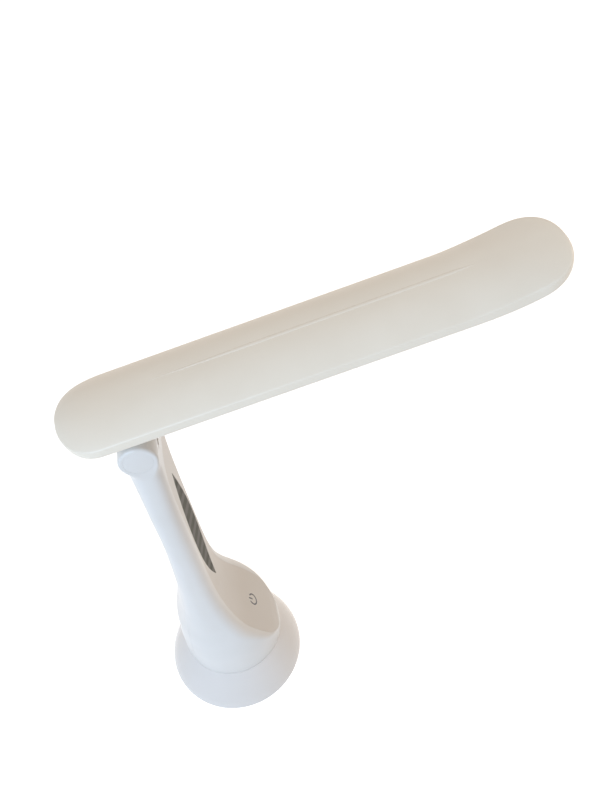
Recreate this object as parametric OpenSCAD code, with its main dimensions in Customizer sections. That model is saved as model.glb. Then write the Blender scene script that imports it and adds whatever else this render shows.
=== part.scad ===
// Folding desk lamp: a round weighted base, a spoon-shaped stem and a long
// light head on one friction hinge. Millimetres, +Z up, +X towards the user.
// The origin is the centre of the rubber pad's underside, on the desk.

/* [Base] */
// Radius of the skirt at the desk
base_r = 54.5; // [52:0.5:58]
// Height of the crease where the skirt meets the body
skirt_h = 37; // [35:0.5:40]
// Wall thickness of the skirt and the body shells
wall = 2.4; // [2:0.1:2.8]
// Height by which the rubber pad lifts the skirt off the desk
foot_lift = 1.2; // [0.8:0.1:1.6]
// Distance of the rubber foot pad's rim inside the skirt's
foot_margin = 7.5; // [5.5:0.5:10]
// Thickness of the bottom cover
cover_t = 2.2; // [1.8:0.1:2.6]
// Distance of the steel ballast plate's rim inside the skirt's
ballast_margin = 10.5; // [8.5:0.5:13.5]
// Thickness of the steel ballast plate
ballast_t = 6; // [4:0.5:7]
// Radius of the circle of base screws
base_screw_circle = 34; // [33:0.5:35]
// Shank radius of the base and body screws
screw_r = 1.5; // [1.2:0.1:1.7]

/* [Body] */
// Radius of the body at the crease
crease_r = 39.5; // [38.5:0.1:40.5]
// Largest radius of the bowl above the crease
bowl_r = 40; // [39.5:0.1:41]
// Height of the power symbol on the spoon face
symbol_z = 75.7; // [74:0.1:77]
// Reach of the spoon face from the base axis at the power symbol
symbol_x = 20.6; // [19.5:0.1:21.8]
// Half of the stem's width
stem_half = 27.5; // [26.5:0.1:28.5]
// Radius of the rounded front edges of the stem and bowl
edge_r = 8.5; // [7:0.5:9.5]
// Depth of the front panel's pocket
panel_t = 1.7; // [1.3:0.1:2]
// Height of the front panel's top end
panel_top = 281; // [276:0.5:283]
// Gap around pieces that are glued or clipped into a pocket
fit_gap = 0.15; // [0.1:0.01:0.25]
// Angle round the back at which the rear cover starts
split_angle = 52; // [48:1:60]

/* [Inlay] */
// Height of the lower tip of the smoky inlay
inlay_low = 128; // [124:1:134]
// Height of the upper tip of the smoky inlay
inlay_high = 254; // [246:1:262]
// Half of the inlay's width at its middle
inlay_half = 15; // [11:0.5:17]
// Thickness of the inlay and of the power symbol
inlay_t = 0.6; // [0.4:0.1:0.8]
// Outer radius of the power symbol
symbol_r = 4.9; // [4.2:0.1:5.6]

/* [Hinge] */
// Distance of the hinge axis behind the base axis
pivot_back = 24.3; // [23.5:0.1:25]
// Height of the hinge axis above the desk
pivot_z = 302; // [298:0.5:306]
// Radius of the hinge barrel on the stem
barrel_r = 10.8; // [10.4:0.1:11.2]
// Radius of the barrel's bore, which holds the hubs
barrel_bore = 8; // [7.6:0.1:8.2]
// Half of the width of the head's middle knuckle
knuckle_half = 12; // [11:0.1:13]
// Gap between the knuckle and the pieces on the stem
side_gap = 0.4; // [0.3:0.05:0.6]
// Outer radius of the hollow hinge pin
pin_r = 4; // [3.6:0.1:4.4]
// Wall of the hollow hinge pin
pin_wall = 1.5; // [1.2:0.1:1.7]
// Radial running clearance of the pin in its hubs
pin_clear = 0.05; // [0.03:0.01:0.08]
// Thickness of each hinge hub
hub_t = 4; // [3:0.5:5]
// Tilt of the head above the horizontal, as shown
head_tilt = 12.8; // [0:0.1:20]

/* [Head] */
// Reach of the head behind the hinge axis
head_back = 34.8; // [33:0.1:37]
// Reach of the head ahead of the hinge axis
head_front = 245; // [241:0.5:249]
// Half of the head's width
head_half = 27.9; // [27:0.1:29]
// Distance of the underside from the hinge axis
under_gap = 14; // [13.5:0.1:15]
// Height of the upright rim at the head's sides
rim_h = 5.3; // [4.8:0.1:6]
// Height of the crest above the underside
crest_h = 14; // [13.2:0.1:15]
// Rise of the underside at the curled tip
tip_rise = 11; // [9:0.5:11.5]
// Wall thickness of the head shell
head_wall = 2; // [1.7:0.1:2.3]
// Width of the decorative line along the crest
crest_w = 2.4; // [1.6:0.1:3.4]
// Start of the crest line, from the hinge axis
crest_from = 12; // [6:1:18]
// End of the crest line, from the hinge axis
crest_to = 186; // [176:1:196]

/* [Light] */
// Start of the light window, from the hinge axis
window_from = 26; // [24:0.5:30]
// End of the light window, from the hinge axis
window_to = 192; // [184:0.5:196]
// Half of the light window's width
window_half = 17.5; // [15:0.5:18]
// Thickness of the diffuser and of the head's bottom frame
frame_t = 2; // [1.8:0.1:2.2]
// Number of light-emitting chips along the board
led_count = 20; // [12:1:26]

/* [Hidden] */

big = 400;
fine = 96;
medium = 48;
pivot_x = -pivot_back;

function lerp(a, b, t) = a + (b - a) * t;
function unit(t) = min(1, max(0, t));

// Slope of a table's column between two of its rows
function slope(table, col, i) = (table[i + 1][col] - table[i][col]) / (table[i + 1][0] - table[i][0]);
// Slope at a row that keeps the curve through it without overshoot
function knot(table, col, i) =
    i == 0 ? slope(table, col, 0)
    : i == len(table) - 1 ? slope(table, col, i - 1)
    : let (a = slope(table, col, i - 1), b = slope(table, col, i)) a * b <= 0 ? 0 : 2 * a * b / (a + b);
// Smooth value of a column at a place along the table
function along(table, col, z, i = 0) =
    i < len(table) - 2 && z > table[i + 1][0] ? along(table, col, z, i + 1)
    : let (h = table[i + 1][0] - table[i][0], t = unit((z - table[i][0]) / h))
        table[i][col] * (1 + 2 * t) * pow(1 - t, 2) + table[i + 1][col] * t * t * (3 - 2 * t)
        + h * t * (1 - t) * (knot(table, col, i) * (1 - t) - knot(table, col, i + 1) * t);

function total(list) = [for (x = list) 1] * list;
// Area vector of a closed ring of points
function ring_area(ring) = total([for (i = [0:len(ring) - 1]) cross(ring[i], ring[(i + 1) % len(ring)])]);
// Triangles that fill a ring of n points, as a ladder between its first half and its last
function ladder(n) = [for (i = [0:floor(n / 2) - 1]) each [
    if (i + 1 < n - 1 - i) [i, i + 1, n - 1 - i], if (i + 1 < n - 2 - i) [i + 1, n - 2 - i, n - 1 - i]]];
// Solid through a list of rings with equal numbers of points
module skin(rings) {
    n = len(rings[0]);
    m = len(rings);
    ahead = ring_area(rings[0]) * (total(rings[1]) - total(rings[0])) > 0;
    turned = ahead ? rings : [for (r = rings) [for (i = [n - 1:-1:0]) r[i]]];
    faces = concat(
        ladder(n),
        [for (f = ladder(n)) [f[2], f[1], f[0]] + (m - 1) * n * [1, 1, 1]],
        [for (a = [0:m - 2], i = [0:n - 1])
            let (p = a * n + i, q = a * n + (i + 1) % n)
            each [[p, q + n, q], [p, p + n, q + n]]]);
    polyhedron([for (r = turned) each r], faces, convexity = 8);
}

// Tube of a small radius along a path of points
module wire(path, r, sides = 8) {
    last = len(path) - 1;
    function heading(i) = let (d = path[min(i + 1, last)] - path[max(i - 1, 0)]) d / norm(d);
    function across(d) = let (s = abs(d[1]) < 0.8 ? cross(d, [0, 1, 0]) : cross(d, [1, 0, 0])) s / norm(s);
    skin([for (i = [0:last])
        let (d = heading(i), s = across(d), t = cross(s, d))
        [for (k = [0:sides - 1]) path[i] + r * (cos(360 * k / sides) * s + sin(360 * k / sides) * t)]]);
}

// Point at the share t of the stretch from b to c, on a smooth curve that passes a, b, c and d
function between(a, b, c, d, t) = 0.5 * (2 * b + (c - a) * t
    + (2 * a - 5 * b + 4 * c - d) * t * t + (3 * b - a - 3 * c + d) * t * t * t);
// Points of a smooth curve through a few route points
function bend(p, steps) = concat(
    [for (i = [0:len(p) - 2], k = [0:steps - 1])
        between(p[max(i - 1, 0)], p[i], p[i + 1], p[min(i + 2, len(p) - 1)], k / steps)],
    [p[len(p) - 1]]);

// Frame of the head: X along it, Y across it, Z up from its underside
module in_head() translate([pivot_x, 0, pivot_z]) rotate([0, -head_tilt, 0]) children();
// Frame of the hinge axis: Z along the axis, towards +Y
module on_pivot() translate([pivot_x, 0, pivot_z]) rotate([-90, 0, 0]) children();
module rounded_slab(x0, x1, half, r, h) {
    linear_extrude(h) union() {
        translate([x0, -half + r]) square([x1 - x0, 2 * (half - r)]);
        translate([x0 + r, -half]) square([x1 - x0 - 2 * r, 2 * half]);
        for (x = [x0 + r, x1 - r], s = [-1, 1])
            translate([x, s * (half - r)]) circle(r, $fn = medium);
    }
}

// ---- Base ----
edge_round = 2;
flare_z = foot_lift + edge_round;
flare_power = 1.4;
deck_z = skirt_h - wall;
deck_hole_r = 14;
cover_top = foot_lift + cover_t;
cup_top = cover_top + 1.6;
ballast_top = cover_top + ballast_t;
post_r = 3.6;
post_gap = 0.4;
screw_head_r = 2.7;
screw_head_h = 1.6;
screw_sink = screw_head_h + 0.1;
post_screw = 12;
base_screw_angles = [45, 135, 225, 315];
front_boss_angles = [0, 110, 250];
rear_boss_angles = [155, 205];
body_screw_angles = concat(front_boss_angles, rear_boss_angles);
body_screw_circle = crease_r - 5.5;
boss_r = 3.4;
boss_h = 7.3;
skirt_steps = 12;

function skirt_radius(z) =
    z < flare_z ? base_r - edge_round + sqrt(pow(edge_round, 2) - pow(flare_z - z, 2))
    : base_r - (base_r - crease_r) * pow((z - flare_z) / (skirt_h - flare_z), flare_power);
skirt_outer = concat(
    [for (a = [90:-22.5:22.5]) let (z = flare_z - edge_round * sin(a)) [skirt_radius(z), z]],
    [for (k = [0:skirt_steps]) let (z = lerp(flare_z, skirt_h, k / skirt_steps)) [skirt_radius(z), z]]);
skirt_inner = concat(
    [for (k = [skirt_steps:-1:0])
        let (z = lerp(cover_top, deck_z, k / skirt_steps)) [skirt_radius(z) - wall, z]],
    [[base_r - edge_round - wall + 0.6, foot_lift]]);

module base_skirt() {
    color("white") difference() {
        union() {
            rotate_extrude($fn = fine) polygon(concat(
                skirt_outer, [[deck_hole_r, skirt_h], [deck_hole_r, deck_z]], skirt_inner));
            for (a = base_screw_angles) rotate(a) translate([base_screw_circle, 0, cup_top])
                cylinder(h = deck_z - cup_top + 0.2, r = post_r, $fn = medium);
            for (x = [-1, 1], y = [-1, 1]) translate([x * board_hole, y * board_hole, skirt_h])
                cylinder(h = board_lift, r = standoff_r, $fn = medium);
        }
        for (a = base_screw_angles) rotate(a) translate([base_screw_circle, 0, cup_top - 1])
            cylinder(h = post_screw + 3, r = screw_r, $fn = medium);
        for (a = body_screw_angles) rotate(a) translate([body_screw_circle, 0, deck_z - 1])
            cylinder(h = wall + 2, r = screw_r + fit_gap, $fn = medium);
        for (x = [-1, 1], y = [-1, 1]) translate([x * board_hole, y * board_hole, skirt_h + 1])
            cylinder(h = board_lift, r = board_screw_r, $fn = medium);
    }
}

cover_r = base_r - edge_round - wall - fit_gap;
cover_flare = 0.6;
pad_seat = 0.8;
foot_r = base_r - foot_margin;
ballast_r = base_r - ballast_margin;
seat_z = foot_lift + pad_seat;
module bottom_cover() {
    color("dimgray") difference() {
        union() {
            translate([0, 0, foot_lift])
                cylinder(h = cover_t, r1 = cover_r, r2 = cover_r + cover_flare, $fn = fine);
            for (a = base_screw_angles) rotate(a) translate([base_screw_circle, 0, cover_top - 0.5])
                cylinder(h = cup_top - cover_top + 0.5, r = post_r, $fn = medium);
        }
        cylinder(h = seat_z, r = foot_r + fit_gap, $fn = fine);
        for (a = base_screw_angles) rotate(a) translate([base_screw_circle, 0, 0]) {
            cylinder(h = cup_top + 1, r = screw_r + fit_gap, $fn = medium);
            cylinder(h = seat_z + screw_sink, r = screw_head_r + fit_gap, $fn = medium);
        }
    }
}

module foot_pad() {
    color("gray") cylinder(h = seat_z, r = foot_r, $fn = fine);
}

module ballast_plate() {
    color("slategray") difference() {
        translate([0, 0, cover_top]) cylinder(h = ballast_t, r = ballast_r, $fn = fine);
        for (a = base_screw_angles) rotate(a) translate([base_screw_circle, 0, 0])
            cylinder(h = ballast_top + 1, r = post_r + post_gap, $fn = medium);
    }
}

// Round-headed screw that points up, with a cross recess in its head
module screw(shank, r = screw_r, head_r = screw_head_r, head_h = screw_head_h) {
    difference() {
        union() {
            cylinder(h = head_h, r = head_r, $fn = medium);
            cylinder(h = head_h + shank, r = r, $fn = medium);
        }
        for (a = [0, 90]) rotate(a) translate([-head_r * 0.55, -0.25, -0.1])
            cube([head_r * 1.1, 0.5, head_h * 0.5 + 0.1]);
    }
}

module base_screws() {
    color("silver") for (a = base_screw_angles) rotate(a)
        translate([base_screw_circle, 0, seat_z + screw_sink - screw_head_h])
            screw(cup_top - seat_z - screw_sink + post_screw);
}

module body_screws() {
    color("silver") for (a = body_screw_angles) rotate(a)
        translate([body_screw_circle, 0, deck_z - screw_head_h]) screw(wall + boss_h - 2);
}

// ---- Battery ----
cell_r = 9.2;
cell_h = 65;
cradle_t = 1.5;
cradle_gap = 0.3;
cell_z = ballast_top + cradle_t + cradle_gap + cell_r;
rib_t = 2;
rib_places = [-22, 22];
contact_t = 0.5;
cradle_end = cell_h / 2 + contact_t + 2 * cradle_gap + rib_t;

module battery_cradle() {
    color("dimgray") difference() {
        union() {
            translate([-cell_r - rib_t, -cradle_end, ballast_top])
                cube([2 * (cell_r + rib_t), 2 * cradle_end, cradle_t]);
            for (y = rib_places) translate([-cell_r - rib_t, y - rib_t, ballast_top])
                cube([2 * (cell_r + rib_t), 2 * rib_t, cradle_t + cell_r]);
            for (s = [-1, 1]) translate([-cell_r, s * (cradle_end - rib_t / 2) - rib_t / 2, ballast_top])
                cube([2 * cell_r, rib_t, cradle_t + cell_r]);
        }
        translate([0, 0, cell_z]) rotate([90, 0, 0])
            cylinder(h = cell_h + 2 * (contact_t + 2 * cradle_gap), r = cell_r + cradle_gap,
                center = true, $fn = fine);
    }
}

module battery_cell() {
    color("seagreen") translate([0, 0, cell_z]) rotate([90, 0, 0]) union() {
        cylinder(h = cell_h - 2, r = cell_r, center = true, $fn = fine);
        translate([0, 0, -cell_h / 2]) cylinder(h = cell_h, r = 3.2, $fn = medium);
    }
}

module battery_contacts() {
    color("silver") for (s = [-1, 1])
        translate([-4, s * (cell_h / 2 + cradle_gap / 2 + contact_t / 2) - contact_t / 2, cell_z - 7])
            cube([8, contact_t, 14]);
}

// ---- Circuit board in the bowl ----
board_r = 28.5;
board_t = 1.6;
board_lift = 7;
board_hole = 17;
board_screw_r = 1.1;
standoff_r = 2.8;
board_z = skirt_h + board_lift;
board_top = board_z + board_t;
tongue_half = 10.5;
tongue_gap = 6;
tongue_x = tongue_gap - bowl_r;
socket_r = 4;
socket_bore = 2.85;
socket_pin = 1.05;
socket_depth = 9;
socket_z = board_top + socket_r + 0.4;
socket_face = -bowl_r + 0.9;
housing = [11, 9.2, 9];
housing_gap = 1.2;
housing_seat = 6.4;
housing_x = housing_gap + wall - bowl_r;
lamp_y = 8;
lamp_r = 1.3;

module main_board() {
    color("darkgreen") difference() {
        translate([0, 0, board_z]) union() {
            cylinder(h = board_t, r = board_r, $fn = fine);
            translate([tongue_x, -tongue_half, 0]) cube([-tongue_x, 2 * tongue_half, board_t]);
        }
        for (x = [-1, 1], y = [-1, 1]) translate([x * board_hole, y * board_hole, board_z - 1])
            cylinder(h = board_t + 2, r = board_screw_r + fit_gap, $fn = medium);
    }
}

module board_screws() {
    color("silver") for (x = [-1, 1], y = [-1, 1])
        translate([x * board_hole, y * board_hole, board_top + 1.2]) rotate([180, 0, 0])
            screw(board_t + board_lift - 2, board_screw_r, 2, 1.2);
}

// Chips and other parts of the board: place, size
board_blocks = [[[-8, -6], [8, 8, 1.4]], [[6, 8], [6, 5, 1.6]], [[8, -16], [7, 7, 4]],
    [[-20, 4], [5, 9, 4.5]], [[-4, 14], [4, 5, 1.2]], [[16, 2], [5, 4, 1.5]]];
can_places = [[-6, -18], [-16, -12]];
module board_parts() {
    color("black") union() {
        for (b = board_blocks) translate([b[0][0], b[0][1], board_top]) cube(b[1]);
        for (p = can_places) translate([p[0], p[1], board_top]) cylinder(h = 7, r = 3.1, $fn = medium);
        translate([tongue_x + 1, lamp_y - 1.6, board_top]) cube([3, 3.2, socket_z - board_top - 1.5]);
    }
}

module charge_socket() {
    color("black") difference() {
        union() {
            translate([housing_x, -housing[1] / 2, board_top]) cube(housing);
            translate([socket_face, 0, socket_z]) rotate([0, 90, 0])
                cylinder(h = housing_x + housing_seat - socket_face, r = socket_r, $fn = medium);
        }
        translate([socket_face, 0, socket_z]) rotate([0, 90, 0]) difference() {
            translate([0, 0, -1]) cylinder(h = socket_depth + 1, r = socket_bore, $fn = medium);
            translate([0, 0, 1]) cylinder(h = socket_depth, r = socket_pin, $fn = medium);
        }
    }
}

module charge_lamp() {
    color("lightblue") translate([socket_face + 0.9, lamp_y, socket_z]) rotate([0, 90, 0])
        cylinder(h = 7, r = lamp_r, $fn = medium);
}

// ---- Body outline: height, back, front, half width, squareness of the back, front edge radius ----
stem_back = 10;
stem_top = pivot_z - 16;
spoon = symbol_x - 20.6;
lift = symbol_z - 75.7;
body = [
    [skirt_h, -crease_r, crease_r, crease_r, 2, edge_r - 4.5],
    [skirt_h + 5, -bowl_r + 0.4, bowl_r - 0.5, bowl_r, 2, edge_r - 3.5],
    [skirt_h + 15, -bowl_r + 0.5, bowl_r - 4.6, bowl_r, 2, edge_r - 2.5],
    [62 + lift, -bowl_r + 0.5, 29.6 + spoon, bowl_r - 0.4, 2.05, edge_r - 1],
    [symbol_z, -bowl_r + 1, symbol_x, bowl_r - 2.4, 2.1, edge_r],
    [88 + lift, -bowl_r + 2, 12.2 + spoon, bowl_r - 4.7, 2.2, edge_r],
    [98 + lift, -36, 7 + spoon, bowl_r - 6.9, 2.3, edge_r],
    [108 + lift, -34, 3 + spoon, stem_half + 3.6, 2.5, edge_r],
    [118 + lift, -32.2, 0, stem_half + 1.8, 2.7, edge_r],
    [130 + lift, -31, -2.5, stem_half + 0.7, 2.9, edge_r],
    [150 + lift, -29.6, -5, stem_half, 3, edge_r],
    [196, -29.2, -8.6, stem_half, 3, edge_r],
    [250, -32, -12.4, stem_half, 3, edge_r - 1],
    [stem_top, pivot_x - stem_back, pivot_x + barrel_r - 0.3, stem_half, 3, edge_r - 2]];

function back_at(z) = along(body, 1, z);
function front_at(z) = along(body, 2, z);
function half_at(z) = along(body, 3, z);
function square_at(z) = along(body, 4, z);
function edge_at(z) = along(body, 5, z);

front_wall = 1.3 * wall;
body_levels = concat([for (z = [skirt_h:4:skirt_h + 96]) z],
    [for (k = [1:11]) lerp(skirt_h + 96, stem_top, k / 11)]);
side_steps = 4;
arc_steps = 4;
edge_steps = 4;

// Point of the bowl's plan held within the bowl's radius
function within(p, r) = p[0] > 0 && norm(p) > r ? p * r / norm(p) : p;
// Half of a body section at height z, inset from the skin, from the back angle a to the front middle
function half_section(z, back_in, front_in, a) =
    let (w = half_at(z) - back_in, f = front_at(z) - front_in, b = back_at(z) + back_in,
        e = edge_at(z), n = 2 / square_at(z), xe = f - e, xc = min(0, xe - 2),
        ye = xe > 0 ? sqrt(max(w * w - xe * xe, 4)) : w, ycorner = max(ye - e, 0.5))
    concat(
        [for (k = [0:side_steps - 1]) let (t = a * (1 - k / side_steps))
            [xc - (xc - b) * pow(sin(t), n), w * pow(cos(t), n)]],
        [for (k = [0:arc_steps - 1]) let (x = lerp(xc, xe, k / arc_steps))
            [x, x > 0 ? sqrt(w * w - x * x) : w]],
        [for (k = [0:edge_steps]) let (t = 90 * (1 - k / edge_steps))
            within([xe + e * cos(t), ycorner + (ye - ycorner) * sin(t)], w)],
        [within([f, ycorner / 2], w)]);
function flip(list) = [for (i = [len(list) - 1:-1:0]) [list[i][0], -list[i][1]]];
function at_height(list, z) = [for (p = list) [p[0], p[1], z]];
function backwards(list) = [for (i = [len(list) - 1:-1:0]) list[i]];
// Open section that wraps the front, and its mirror image
function front_line(z, bi, fi, a) = let (h = half_section(z, bi, fi, a)) concat(h, flip(h));
// Line round the back between the two edges of the rear cover
function back_line(z, inset, a, steps) =
    let (w = half_at(z) - inset, b = back_at(z) + inset, n = 2 / square_at(z),
        xc = min(0, front_at(z) - edge_at(z) - 2),
        h = [for (k = [0:steps]) let (t = lerp(a, 90, k / steps))
            [xc - (xc - b) * pow(sin(t), n), w * pow(cos(t), n)]])
    concat(h, [for (i = [steps - 1:-1:0]) [h[i][0], -h[i][1]]]);

module stem_skin() {
    skin([for (z = body_levels) at_height(concat(front_line(z, 0, 0, split_angle),
        backwards(front_line(z, wall, front_wall, split_angle))), z)]);
}

// Strip between the front face and a depth behind it, right across the body
function face_line(levels, offset) = [for (z = levels) [front_at(z) + offset, z]];
module face_strip(levels, depth, proud = 0) {
    rotate([90, 0, 0]) linear_extrude(3 * bowl_r, center = true) polygon(concat(
        face_line(levels, proud), backwards(face_line(levels, -depth))));
}
panel_low = skirt_h + 10;
face_levels = body_levels;
face_margin = 1.2;
function flat_half(z) = let (f = front_at(z), e = edge_at(z), w = half_at(z))
    f > e ? min(sqrt(max(w * w - pow(f - e, 2), 0)) - e, sqrt(max(w * w - f * f, 0))) : w - e;
end_round = 14;
function panel_half(z) = let (g = flat_half(z) - face_margin, d = panel_top - z)
    d < end_round ? g - end_round + sqrt(max(end_round * end_round - pow(end_round - d, 2), 0)) : g;
panel_steps = 40;
panel_line = [for (k = [0:panel_steps])
    let (z = panel_low + (panel_top - panel_low) * k / panel_steps)
    [z, max(panel_half(z), 0.5)]];
// Prism along X through an outline of heights and half widths
module face_prism(line, grow) {
    rotate([90, 0, 90]) linear_extrude(3 * bowl_r, center = true) polygon(concat(
        [[0, line[0][0] - grow]],
        [for (p = line) [p[1] + grow, p[0]]],
        [[0, line[len(line) - 1][0] + grow]],
        [for (p = backwards(line)) [-p[1] - grow, p[0]]]));
}

block_screw_z = stem_top - 9;
block_screw_y = 12;
block_boss_l = 5;
block_boss_r = 2.6;
block_boss_x = front_at(block_screw_z) - front_wall - block_boss_l;
// Front and sides of the bowl and stem, open at the back
module front_shell() {
    color("white") difference() {
        union() {
            stem_skin();
            for (a = front_boss_angles) rotate(a) translate([body_screw_circle, 0, skirt_h])
                cylinder(h = boss_h, r = boss_r, $fn = medium);
            for (s = [-1, 1]) translate([block_boss_x, s * block_screw_y, block_screw_z]) rotate([0, 90, 0])
                cylinder(h = block_boss_l + 0.8, r = block_boss_r, $fn = medium);
        }
        for (a = front_boss_angles) rotate(a) translate([body_screw_circle, 0, skirt_h - 1])
            cylinder(h = boss_h, r = screw_r, $fn = medium);
        intersection() {
            face_prism(panel_line, 0);
            face_strip(face_levels, panel_t, 5);
        }
        for (s = [-1, 1]) translate([block_boss_x - 1, s * block_screw_y, block_screw_z]) rotate([0, 90, 0])
            cylinder(h = block_boss_l + 1, r = board_screw_r, $fn = medium);
    }
}

// Block that closes the top of the stem and holds the hinge
lead_r = 1;
slot_half = 2.2;
shoulder_t = 0.7;
bore_from = knuckle_half + side_gap + shoulder_t;
cap_t = 1.8;
notch_half = knuckle_half + side_gap;
notch_r = barrel_r + 0.6;
block_top = pivot_z - 2;
block_line = concat(half_section(stem_top, 0, 0, 90), flip(half_section(stem_top, 0, 0, 90)));
plug_h = 17;
plug_gap = 0.3;
plug_back = back_at(stem_top) + wall + 2.6;
plug_front = block_boss_x - plug_gap;
plug_half = 18;
module hinge_block() {
    color("white") difference() {
        union() {
            translate([0, 0, stem_top + 0.02]) linear_extrude(block_top - stem_top)
                polygon(block_line);
            on_pivot() cylinder(h = 2 * stem_half, r = barrel_r, center = true, $fn = fine);
            translate([plug_back, -plug_half, stem_top - plug_h])
                cube([plug_front - plug_back, 2 * plug_half, plug_h + 1]);
        }
        on_pivot() {
            cylinder(h = 2 * (bore_from + 0.01), r = barrel_bore - 1.6, center = true, $fn = fine);
            for (s = [0, 1]) mirror([0, 0, s]) translate([0, 0, bore_from])
                cylinder(h = stem_half, r = barrel_bore, $fn = fine);
            cylinder(h = 2 * notch_half, r = notch_r, center = true, $fn = fine);
        }
        translate([pivot_x - 2 * barrel_r, -notch_half, pivot_z - notch_r * 0.8])
            cube([4 * barrel_r, 2 * notch_half, barrel_r * 3]);
        translate([pivot_x - slot_half, bore_from + hub_t + 1, stem_top - 1])
            cube([2 * slot_half, 4.6, pivot_z - stem_top]);
        for (s = [-1, 1]) translate([plug_back - 1, s * block_screw_y, block_screw_z]) rotate([0, 90, 0])
            cylinder(h = 20, r = board_screw_r + fit_gap, $fn = medium);
    }
}

module block_screws() {
    head_h = 1;
    color("silver") for (s = [-1, 1]) translate([plug_back - head_h, s * block_screw_y, block_screw_z])
        rotate([0, 90, 0])
            screw(plug_front - plug_back + plug_gap + block_boss_l - 0.7, board_screw_r, 2, head_h);
}

cover_high = stem_top - 0.3;
cover_levels = [for (z = body_levels) if (z < cover_high) z, cover_high];
cover_split = split_angle + 2;
module rear_cover() {
    color("whitesmoke") difference() {
        union() {
            skin([for (z = cover_levels) at_height(concat(back_line(z, 0, cover_split, 5),
                backwards(back_line(z, wall, cover_split, 5))), z)]);
            for (a = rear_boss_angles) rotate(a) translate([body_screw_circle, 0, skirt_h])
                cylinder(h = boss_h, r = boss_r, $fn = medium);
        }
        for (a = rear_boss_angles) rotate(a) translate([body_screw_circle, 0, skirt_h - 1])
            cylinder(h = boss_h, r = screw_r, $fn = medium);
        translate([-bowl_r - 5, 0, socket_z]) rotate([0, 90, 0])
            cylinder(h = 20, r = socket_r + fit_gap, $fn = medium);
        translate([-bowl_r - 5, lamp_y, socket_z]) rotate([0, 90, 0])
            cylinder(h = 20, r = lamp_r + fit_gap, $fn = medium);
    }
}

inlay_steps = 24;
inlay_line = [for (k = [0:inlay_steps]) let (t = k / inlay_steps)
    [lerp(inlay_low, inlay_high, t), max(0.4, inlay_half * pow(sin(180 * t), 0.9))]];
face_angle = atan2(front_at(symbol_z - 4) - front_at(symbol_z + 4), 8);
module on_symbol() translate([front_at(symbol_z), 0, symbol_z]) rotate([0, 90 - face_angle, 0]) children();

module front_panel() {
    color("gainsboro") difference() {
        intersection() {
            face_prism(panel_line, -fit_gap);
            face_strip(face_levels, panel_t - 0.01);
        }
        intersection() {
            face_prism(inlay_line, fit_gap);
            face_strip(face_levels, inlay_t, 5);
        }
        on_symbol() translate([0, 0, -inlay_t]) cylinder(h = 5, r = symbol_r + fit_gap, $fn = medium);
    }
}

module stem_inlay() {
    color("dimgray") intersection() {
        face_prism(inlay_line, 0);
        face_strip(face_levels, inlay_t);
    }
}

symbol_line = 1.2;
symbol_gap = 34;
module power_symbol() {
    color("dimgray") on_symbol() translate([0, 0, -inlay_t]) linear_extrude(inlay_t) union() {
        difference() {
            circle(symbol_r, $fn = medium);
            circle(symbol_r - symbol_line, $fn = medium);
            polygon([[0, 0], [-2 * symbol_r, 2 * symbol_r * tan(symbol_gap)],
                [-2 * symbol_r, -2 * symbol_r * tan(symbol_gap)]]);
        }
        translate([-symbol_r, -symbol_line / 2]) square([symbol_r - 0.6, symbol_line]);
    }
}

pad_depth = front_wall + 0.4;
pad_t = 0.6;
pad_r = 8;
module touch_pad() {
    color("peru") on_symbol() translate([0, 0, -pad_depth - pad_t])
        cylinder(h = pad_t, r = pad_r, $fn = medium);
}

spring_r = 2.6;
spring_wire = 0.45;
spring_turns = 6;
spring_turn_steps = 10;
spring_x = symbol_x - 10.3;
spring_top = symbol_z - 14;
module touch_spring() {
    n = spring_turns * spring_turn_steps;
    color("silver") wire([for (i = [0:n]) let (a = 360 * i / spring_turn_steps)
        [spring_x + spring_r * cos(a), spring_r * sin(a),
        lerp(board_top + spring_wire + 0.05, spring_top, i / n)]], spring_wire, 6);
}

// ---- Stem lead: clipped inside the stem, then in through the end of the hollow pin ----
lead_route = [[-17, 8, board_top + 6], [-22, 11, 58], [-25.5, 13, 80], [-24.5, 14, 110], [-22.5, 15, 150],
    [-21.5, 16, 200], [-23, 18, 250], [pivot_x, 20.6, stem_top - 6], [pivot_x, 21.2, pivot_z - 8],
    [pivot_x, 20.8, pivot_z - 2], [pivot_x, 18.6, pivot_z], [pivot_x, 12, pivot_z], [pivot_x, 4, pivot_z]];
module stem_lead() {
    color("black") wire(bend(lead_route, 4), lead_r);
}

// ---- Hinge ----
hub_from = bore_from + 0.05;
pin_end = hub_from + hub_t + side_gap;
flange_r = 6;
flange_t = 0.9;
module hub() {
    difference() {
        translate([0, 0, hub_from]) cylinder(h = hub_t, r = barrel_bore - 0.05, $fn = fine);
        cylinder(h = big, r = pin_r + pin_clear, center = true, $fn = fine);
    }
}
module hub_near() color("goldenrod") on_pivot() mirror([0, 0, 1]) hub();
module hub_far() color("goldenrod") on_pivot() hub();

// Hollow pin that turns with the head, with a hole for the lead in the wall that faces the head
window_r = 1.9;
module hinge_pin() {
    color("silver") difference() {
        on_pivot() difference() {
            union() {
                translate([0, 0, -pin_end - nut_t - 0.6])
                    cylinder(h = 2 * pin_end + nut_t + 0.6, r = pin_r, $fn = fine);
                translate([0, 0, pin_end]) cylinder(h = flange_t, r = flange_r, $fn = fine);
            }
            cylinder(h = big, r = pin_r - pin_wall, center = true, $fn = fine);
        }
        in_head() cylinder(h = 3 * pin_r, r = window_r, $fn = medium);
    }
}

nut_t = 3;
module friction_washers() {
    color("silver") on_pivot() for (s = [0, 1]) mirror([0, 0, s])
        translate([0, 0, knuckle_half + side_gap]) difference() {
            cylinder(h = shoulder_t, r = barrel_bore - 1.75, $fn = fine);
            translate([0, 0, -1]) cylinder(h = 3, r = pin_r + 2 * pin_clear, $fn = fine);
        }
}

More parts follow.
